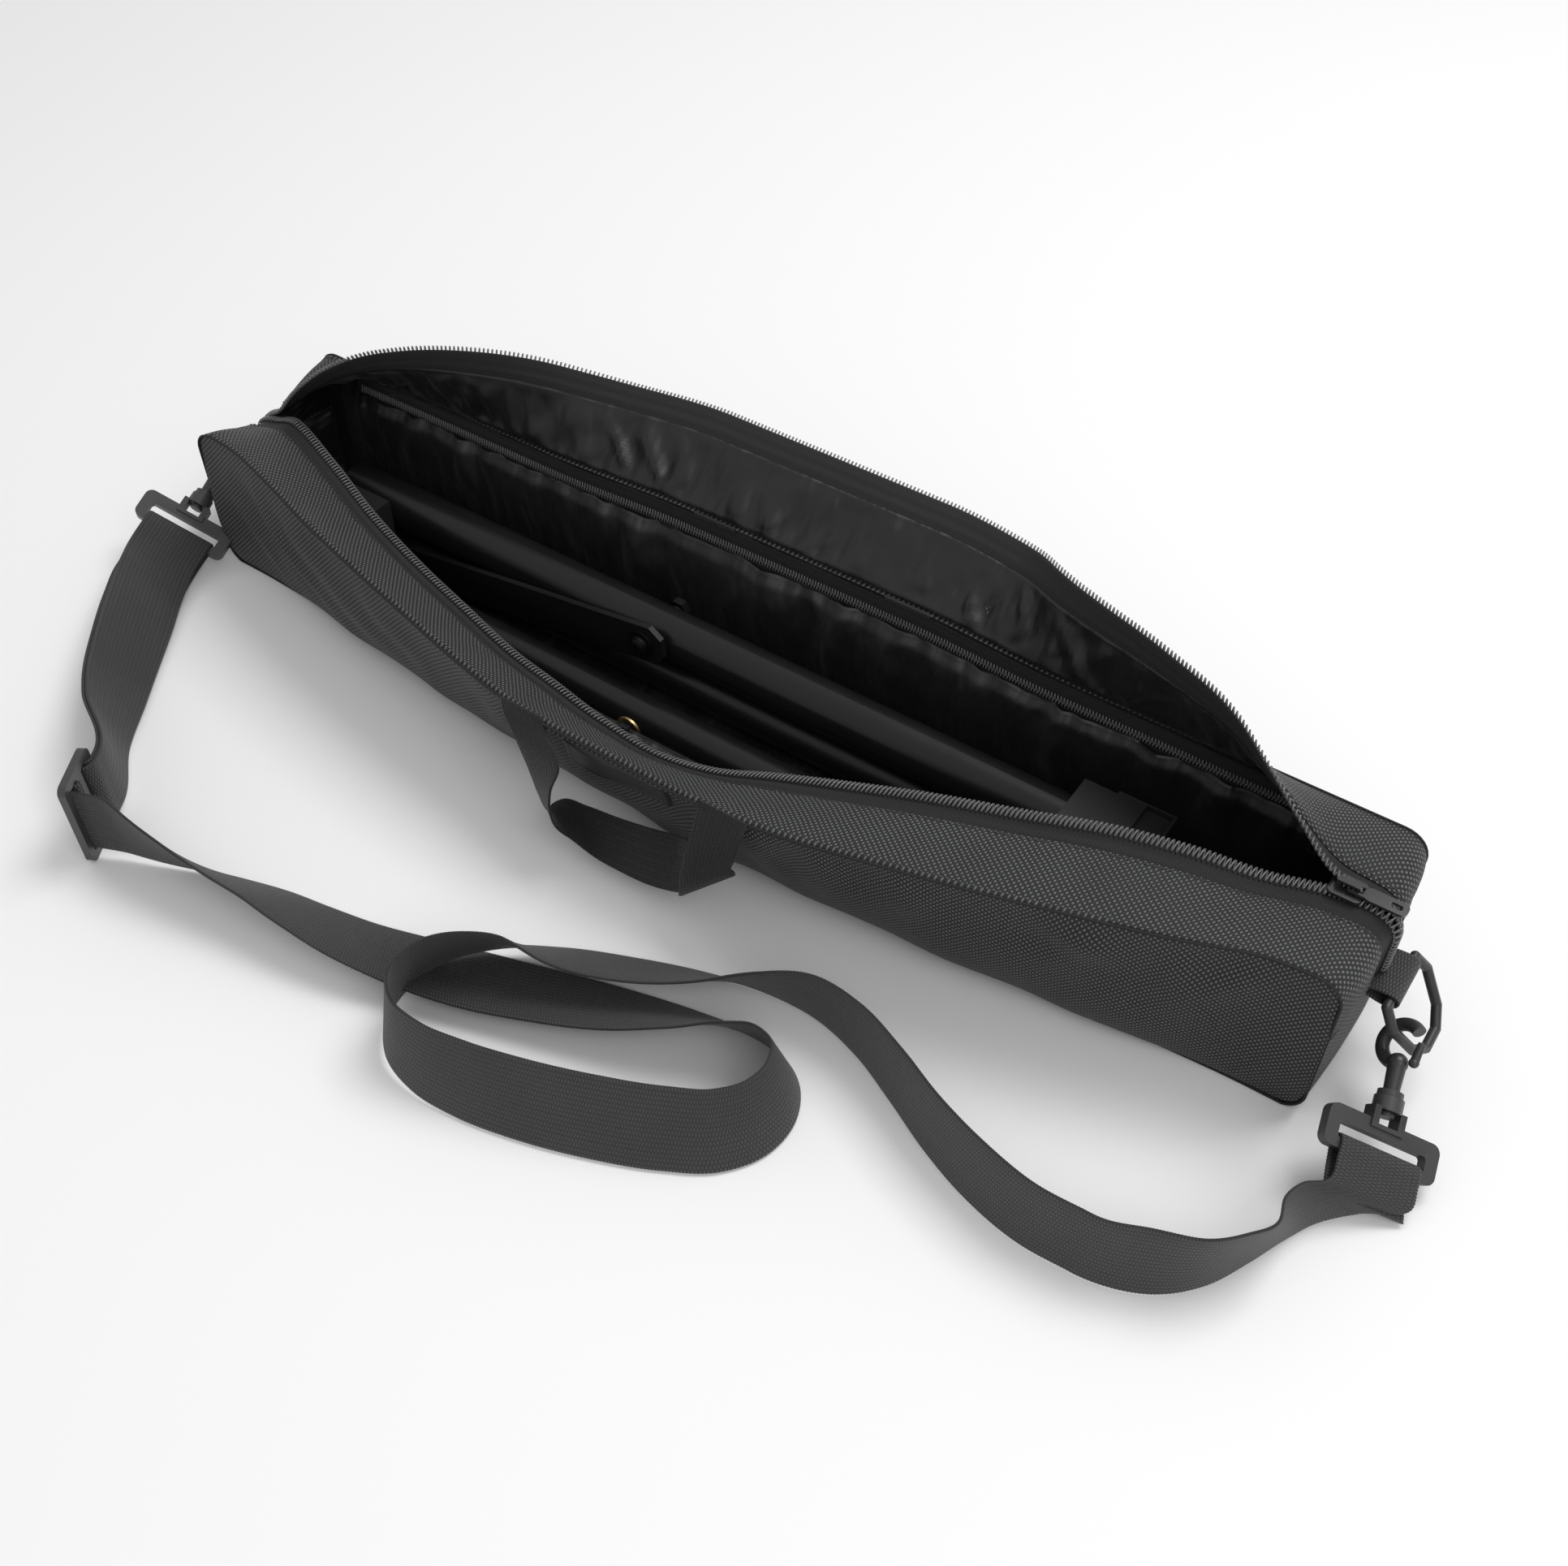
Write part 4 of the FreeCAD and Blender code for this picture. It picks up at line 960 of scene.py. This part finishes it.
loop_points = [
    (-188, -226, 4.6, -2), (-172, -220, 2.8, -14), (-155, -213, 1.6, -26), (-133, -205, 1.2, -38),
    (-112, -199, 1.3, -46), (-90, -195, 1.5, -54), (-66, -190, 1.5, -63), (-40, -182, 1.5, -72),
    (-12, -173, 1.5, -76), (20, -163, 1.5, -72), (50, -154, 1.3, -64), (78, -147, 1.2, -50),
    (102, -143, 1.0, -34), (122, -144, 0.9, -22), (138, -152, 0.9, -18), (147, -168, 0.9, -20),
    (146, -187, 0.9, -24), (135, -204, 0.9, -28), (115, -217, 0.9, -30), (88, -229, 0.9, -30),
    (58, -239, 0.9, -28), (30, -245, 1.0, -24), (8, -246, 2.0, -18), (-12, -240, 3.7, -12),
    (-24, -226, 5.2, -10), (-27, -208, 6.2, -14), (-22, -188, 6.2, -22), (-8, -170, 5.7, -30),
    (14, -154, 4.4, -48), (42, -140, 3.0, -52), (72, -128, 1.8, -44), (100, -121, 1.2, -26),
    (126, -120, 0.9, -8), (150, -126, 0.9, 0), (174, -137, 0.9, 4), (198, -149, 0.9, 6),
    (222, -158, 0.9, 8), (248, -163, 0.9, 8), (274, -162, 0.9, 8)]
loop_end = [(299, -154, 1, -0.15, 0.12, 0.97), (316, -138, 1, -0.1, -0.1, 0.98),
            (326, -119, 1, -0.08, -0.3, 0.93), (333, -103, 1, -0.08, -0.42, 0.9),
            (341, -89, 1.5, -0.35, -0.45, 0.82), (353, -77, 3, -0.6, -0.45, 0.66)]
double_points = [(-306, -90, 3, -0.80, -0.25, 0.55), (-293, -109, 2, -0.68, -0.32, 0.66),
                 (-278, -131, 2, -0.50, -0.38, 0.78), (-262, -154, 2, -0.42, -0.30, 0.85),
                 (-243, -180, 4, -0.30, -0.12, 0.95)]


def edge_rows(points):
    """Centres and width directions of webbing given as a lower edge point and a way up."""
    rows = np.array(points, float)
    up = rows[:, 3:] / np.linalg.norm(rows[:, 3:], axis=1, keepdims=True)
    return np.column_stack([rows[:, :3] + up * (WEBBING / 2), up])


def glide_rows(places):
    """Rows of webbing near the tri-glide: p along it, q out of its face."""
    return [[*(GLIDE + GLIDE_ALONG * p + GLIDE_OUT * q), 0, 0, 1] for p, q in places]


def ribbon(name, rows, count, width, thick, material, rib=1.35):
    """Webbing through rows of a centre and a width direction, kept just above the floor."""
    rows = resample(rows, count)
    across = rows[:, 3:] / np.linalg.norm(rows[:, 3:], axis=1, keepdims=True)
    left = rows[:, :3] - across * width / 2
    right = rows[:, :3] + across * width / 2
    low = np.minimum(left[:, 2], right[:, 2])
    lift = np.maximum(0.9 - low, 0)[:, None] * np.array([0, 0, 1.0])
    return webbing(name, left + lift, right + lift, thick, material, rib)


def shoulder_strap():
    """Sewn round the tri-glide's bar, doubled to the left hook, then looped to the right hook."""
    doubled = edge_rows(double_points)
    apart = np.cross(np.gradient(doubled[:, :3], axis=0), doubled[:, 3:])
    apart = apart / np.linalg.norm(apart, axis=1, keepdims=True)
    apart = apart * np.linspace(3.0, 1.0, len(apart))[:, None]
    upper = doubled.copy()
    upper[:, :3] -= apart
    lower = doubled.copy()
    lower[:, :3] += apart
    hook = left_hook
    rows = glide_rows([(2, 2.7), (5.0, 1.7), (5.6, -0.4), (4.0, -2.4), (0, -2.8), (-4.0, -2.4),
                       (-5.4, -0.4), (-5.8, 1.8), (-8.5, 4.2), (-16, 5.0)])
    rows += upper[::-1].tolist() + [hook.row(12, 3.2), hook.row(5, 3.5)]
    rows += hook.wrap() + [hook.row(5, -3.5), hook.row(12, -3.2)]
    rows += lower.tolist()
    rows += glide_rows([(-16, 3.0), (-10.6, 2.4), (-9.0, 0), (-8.0, -3.2), (-4, -4.6),
                        (0, -4.8), (4, -4.6), (8.0, -3.2), (8.9, 0), (9.3, 2.5)])
    doubled_strap = ribbon("strap_doubled", rows, 900, WEBBING, 1.5, WEB)
    hook = right_hook
    rows = glide_rows([(9.3, 2.5), (9.8, 6)]) + standing_band(loop_points, 160).tolist()
    rows += edge_rows(loop_end).tolist() + [hook.row(13, 2.6), hook.row(5, 3.4)] + hook.wrap()
    rows += [hook.row(5, -3.3), hook.row(12, -2.4), hook.row(19, -1.0)]
    loop = ribbon("strap_loop", rows, 2600, WEBBING, 1.5, WEB)
    return doubled_strap, loop


def handle(name, rows):
    """Carrying handle given as rows of its two edges."""
    dense = resample(rows, 260)
    return webbing(name, dense[:, :3], dense[:, 3:], 1.4, WEB_DARK, rib=1.2)


# edges of the front handle at rest: the left leg turns over into the grip, the right leg is folded
front_rows = [
    (-60, -99.5, 76, -35, -99.5, 76), (-57, -102, 71, -32, -102, 72), (-47, -107, 65, -23, -107, 69),
    (-38, -110, 52, -17, -112, 64), (-35, -109, 36, -19, -117, 53), (-32, -108, 26, -19, -119, 42),
    (-34, -102, 23, -17, -118, 31), (-30, -98, 25, -12, -115, 24), (-18, -96, 26, -2, -113, 17),
    (-1, -95, 28, 11, -112, 15), (18, -95, 33, 29, -112, 17), (34, -95, 38, 41, -112, 21),
    (49, -102, 49, 49, -112, 25), (66, -107, 53, 49, -112.5, 25), (76, -109, 54, 49, -113, 25),
    (76.8, -110.4, 55, 48.6, -114.4, 25.6), (76, -111, 56, 49, -115, 28), (76, -108, 63, 50, -112, 47),
    (76, -104, 70, 51, -105, 64), (76, -99.5, 76, 51, -99.5, 76)]
half_back = [
    (-60, 46, 86, -35, 46, 86), (-59, 48, 78, -34, 48, 80), (-56, 53, 62, -32, 52, 68),
    (-49, 58, 47, -30, 55, 62), (-34, 61, 36, -24, 57, 59), (-12, 62, 32, -9, 57, 56.5)]
back_rows = half_back + [(16 - a, b, c, 16 - d, e, g) for a, b, c, d, e, g in half_back[::-1]]


def ring_tab(side):
    """Folded webbing from the cross seam round the ring's straight bar."""
    path = [(HALF - 1, 51.6), (HALF + 4, 52.4), (HALF + 9, 53.2)]
    for a in np.radians(np.arange(90, -91, -20)):
        path.append((HALF + 13 + 3.2 * math.cos(a), 50 + 3.2 * math.sin(a)))
    path += [(HALF + 9, 46.8), (HALF + 4, 47.8), (HALF - 1, 48.6)]
    rows = [[side * x, 0, z, 0, 1, 0] for x, z in path]
    return ribbon("ring_tab_left_web" if side < 0 else "ring_tab_right_web", rows, 90, HANDLE_WEB,
                  1.3, WEB, rib=1.2)


def patch():
    """Blank rubber patch sewn to the front panel under the seam, with a raised rim."""
    a, b = field(np.linspace(-1, 1, 57), np.linspace(-1, 1, 25))
    x = 3 + 28 * a * (1 - 0.015 * b ** 14)
    share = (72 + 9.5 * b * (1 - 0.045 * a ** 20)) / TOP
    y, z, _ = wall_skin(x, share)
    edge = np.maximum(np.abs(a) * 28 - 28, np.abs(b) * 9.5 - 9.5)
    height = 1.25 * (1 - smooth((edge + 0.8) / 0.8)) + 0.4 * np.exp(-((edge + 2.2) / 0.55) ** 2)
    outer = on_wall(x, y - 0.1 - height, z)
    inner = on_wall(x, y + 0.3, z)
    shape = Shape()
    shape.shell(outer, inner, np.stack([x, z], -1), slots=(0, 0))
    return shape.build("blank_patch", [RUBBER], sharp=60)


# ---- build the bag ---------------------------------------------------------------------------------
share_out(front_wall(), "front_side", WALL_SHARE, ["front_panel", "front_panel_ends"])
share_out(flap(-1), "front_flap", FLAP_SHARE, ["front_gusset", "front_gusset_ends"])
share_out(flap(1), "back_flap", BACK_SHARE, ["back_gusset", "back_gusset_ends"])
share_out(zip_tape(-1), "front_flap", FLAP_SHARE, ["front_zip_tape"])
share_out(zip_tape(1), "back_flap", BACK_SHARE, ["back_zip_tape"])
share_out(coil(-1), "front_flap", FLAP_SHARE, ["front_zip_coil"])
share_out(coil(1), "back_flap", BACK_SHARE, ["back_zip_coil"])
share_out(rim(-1), "front_side", WALL_SHARE)
share_out(flap_stitches(-1, CLOTH_EDGE + 2.2, "front_stitches"), "front_flap", FLAP_SHARE)
share_out(flap_stitches(1, CLOTH_EDGE + 2.2, "back_stitches"), "back_flap", BACK_SHARE)
place(rim(1), "bag")
place(cross_seam(-1), "bag")
place(cross_seam(1), "bag")
place(back_wall(), "bag", ["back_panel"])
place(bottom_sheet(), "bag", ["bottom_gusset", "end_gusset_left", "end_gusset_right"])
place(pocket(), "bag", ["pocket_panel"])
place(strip("pocket_tape", on_pocket, (-285, 285), (-7.5, 8.5), TOP - 0.2, 0.6, TAPE, bow=0.3), "bag",
      ["pocket_zip"])
place(pocket_coil(-1), "bag")
place(pocket_coil(1), "bag")
place(ring_tab(-1), "bag", ["ring_tab_left"])
place(ring_tab(1), "bag", ["ring_tab_right"])
place(patch(), "front_side", ["patch"])
place(handle("front_handle_web", front_rows), "front_handle", ["front_handle"])
place(handle("back_handle_web", back_rows), "back_handle", ["back_handle"])
doubled_strap, loop_strap = shoulder_strap()
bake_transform(doubled_strap)
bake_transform(loop_strap)
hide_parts("strap_double", "strap_fold_left")
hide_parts("shoulder_strap", "strap_fold_right")


# ---- stage, light and camera -------------------------------------------------------------------------
def stage():
    floor = Shape()
    x, y = field(np.linspace(-6000, 6000, 13), np.linspace(-6000, 6000, 13))
    floor.grid(np.stack([x, y, 0 * x - 0.05], -1))
    n = Nodes("floor")
    cloud = n.noise(n.place(), 0.8, 2.0)
    material = n.finish(n.mix(cloud, (0.86, 0.86, 0.865), (0.90, 0.90, 0.905)), 0.75)
    obj = floor.build("floor", [material])
    world = bpy.data.worlds.new("studio")
    world.use_nodes = True
    world.node_tree.nodes["Background"].inputs[0].default_value = (1.0, 1.0, 1.0, 1.0)
    world.node_tree.nodes["Background"].inputs[1].default_value = 0.57
    bpy.context.scene.world = world
    for name, place_m, size, power, target in (
            ("key", (0.5, 0.9, 2.1), 1.1, 27.0, (0, 0, 0)),
            ("fill", (1.4, -0.9, 1.7), 1.2, 11.0, (0, 0, 0))):
        light = bpy.data.lights.new(name, "AREA")
        light.shape = "SQUARE"
        light.size = size
        light.energy = power
        lamp = bpy.data.objects.new(name, light)
        lamp.location = place_m
        lamp.rotation_euler = (Vector(target) - Vector(place_m)).to_track_quat("-Z", "Y").to_euler()
        bpy.context.scene.collection.objects.link(lamp)
    camera = bpy.data.cameras.new("camera")
    camera.lens = 39.13
    camera.sensor_width = 36.0
    camera.clip_start = 0.01
    eye = bpy.data.objects.new("camera", camera)
    eye.location = (0.3563, -0.4789, 0.6067)
    aim = Vector((0.03467, -0.01294, 0.0)) - eye.location
    eye.rotation_euler = aim.to_track_quat("-Z", "Y").to_euler()
    bpy.context.scene.collection.objects.link(eye)
    bpy.context.scene.camera = eye
    bpy.context.scene.view_settings.view_transform = "Standard"


stage()

# ---- CAD parts that keep their own shape ---------------------------------------------------------------
finishes = {
    "zip_slider": GLOSS, "zip_pull": GLOSS, "pocket_slider": GLOSS, "pocket_pull": GLOSS,
    "ring_left": ACETAL, "ring_right": ACETAL, "hook_left": ACETAL, "hook_right": ACETAL,
    "hook_gate_left": ACETAL, "hook_gate_right": ACETAL, "hook_base_left": ACETAL,
    "hook_base_right": ACETAL, "tri_glide": ACETAL, "stand_post": PAINT, "rear_leg": PAINT,
    "front_leg": PAINT, "brace_bar": PAINT, "post_foot": CAP, "rear_leg_plug": CAP,
    "front_leg_plug": CAP, "hub_block": CAP, "brace_spacer": CAP, "leg_pivot_bolt": OXIDE,
    "hub_bolt": OXIDE, "leg_bolt": OXIDE, "brass_washer": BRASS, "brace_screw": OXIDE,
    "brace_washer": OXIDE, "brace_nut": OXIDE}
for node, material in finishes.items():
    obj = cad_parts[node]
    obj.data.materials.clear()
    obj.data.materials.append(material)
    bevel = obj.modifiers.new("edges", "BEVEL")
    bevel.width = 0.35 * MM
    bevel.segments = 2
    bevel.limit_method = "ANGLE"
    bevel.angle_limit = math.radians(42)
    bevel.harden_normals = False
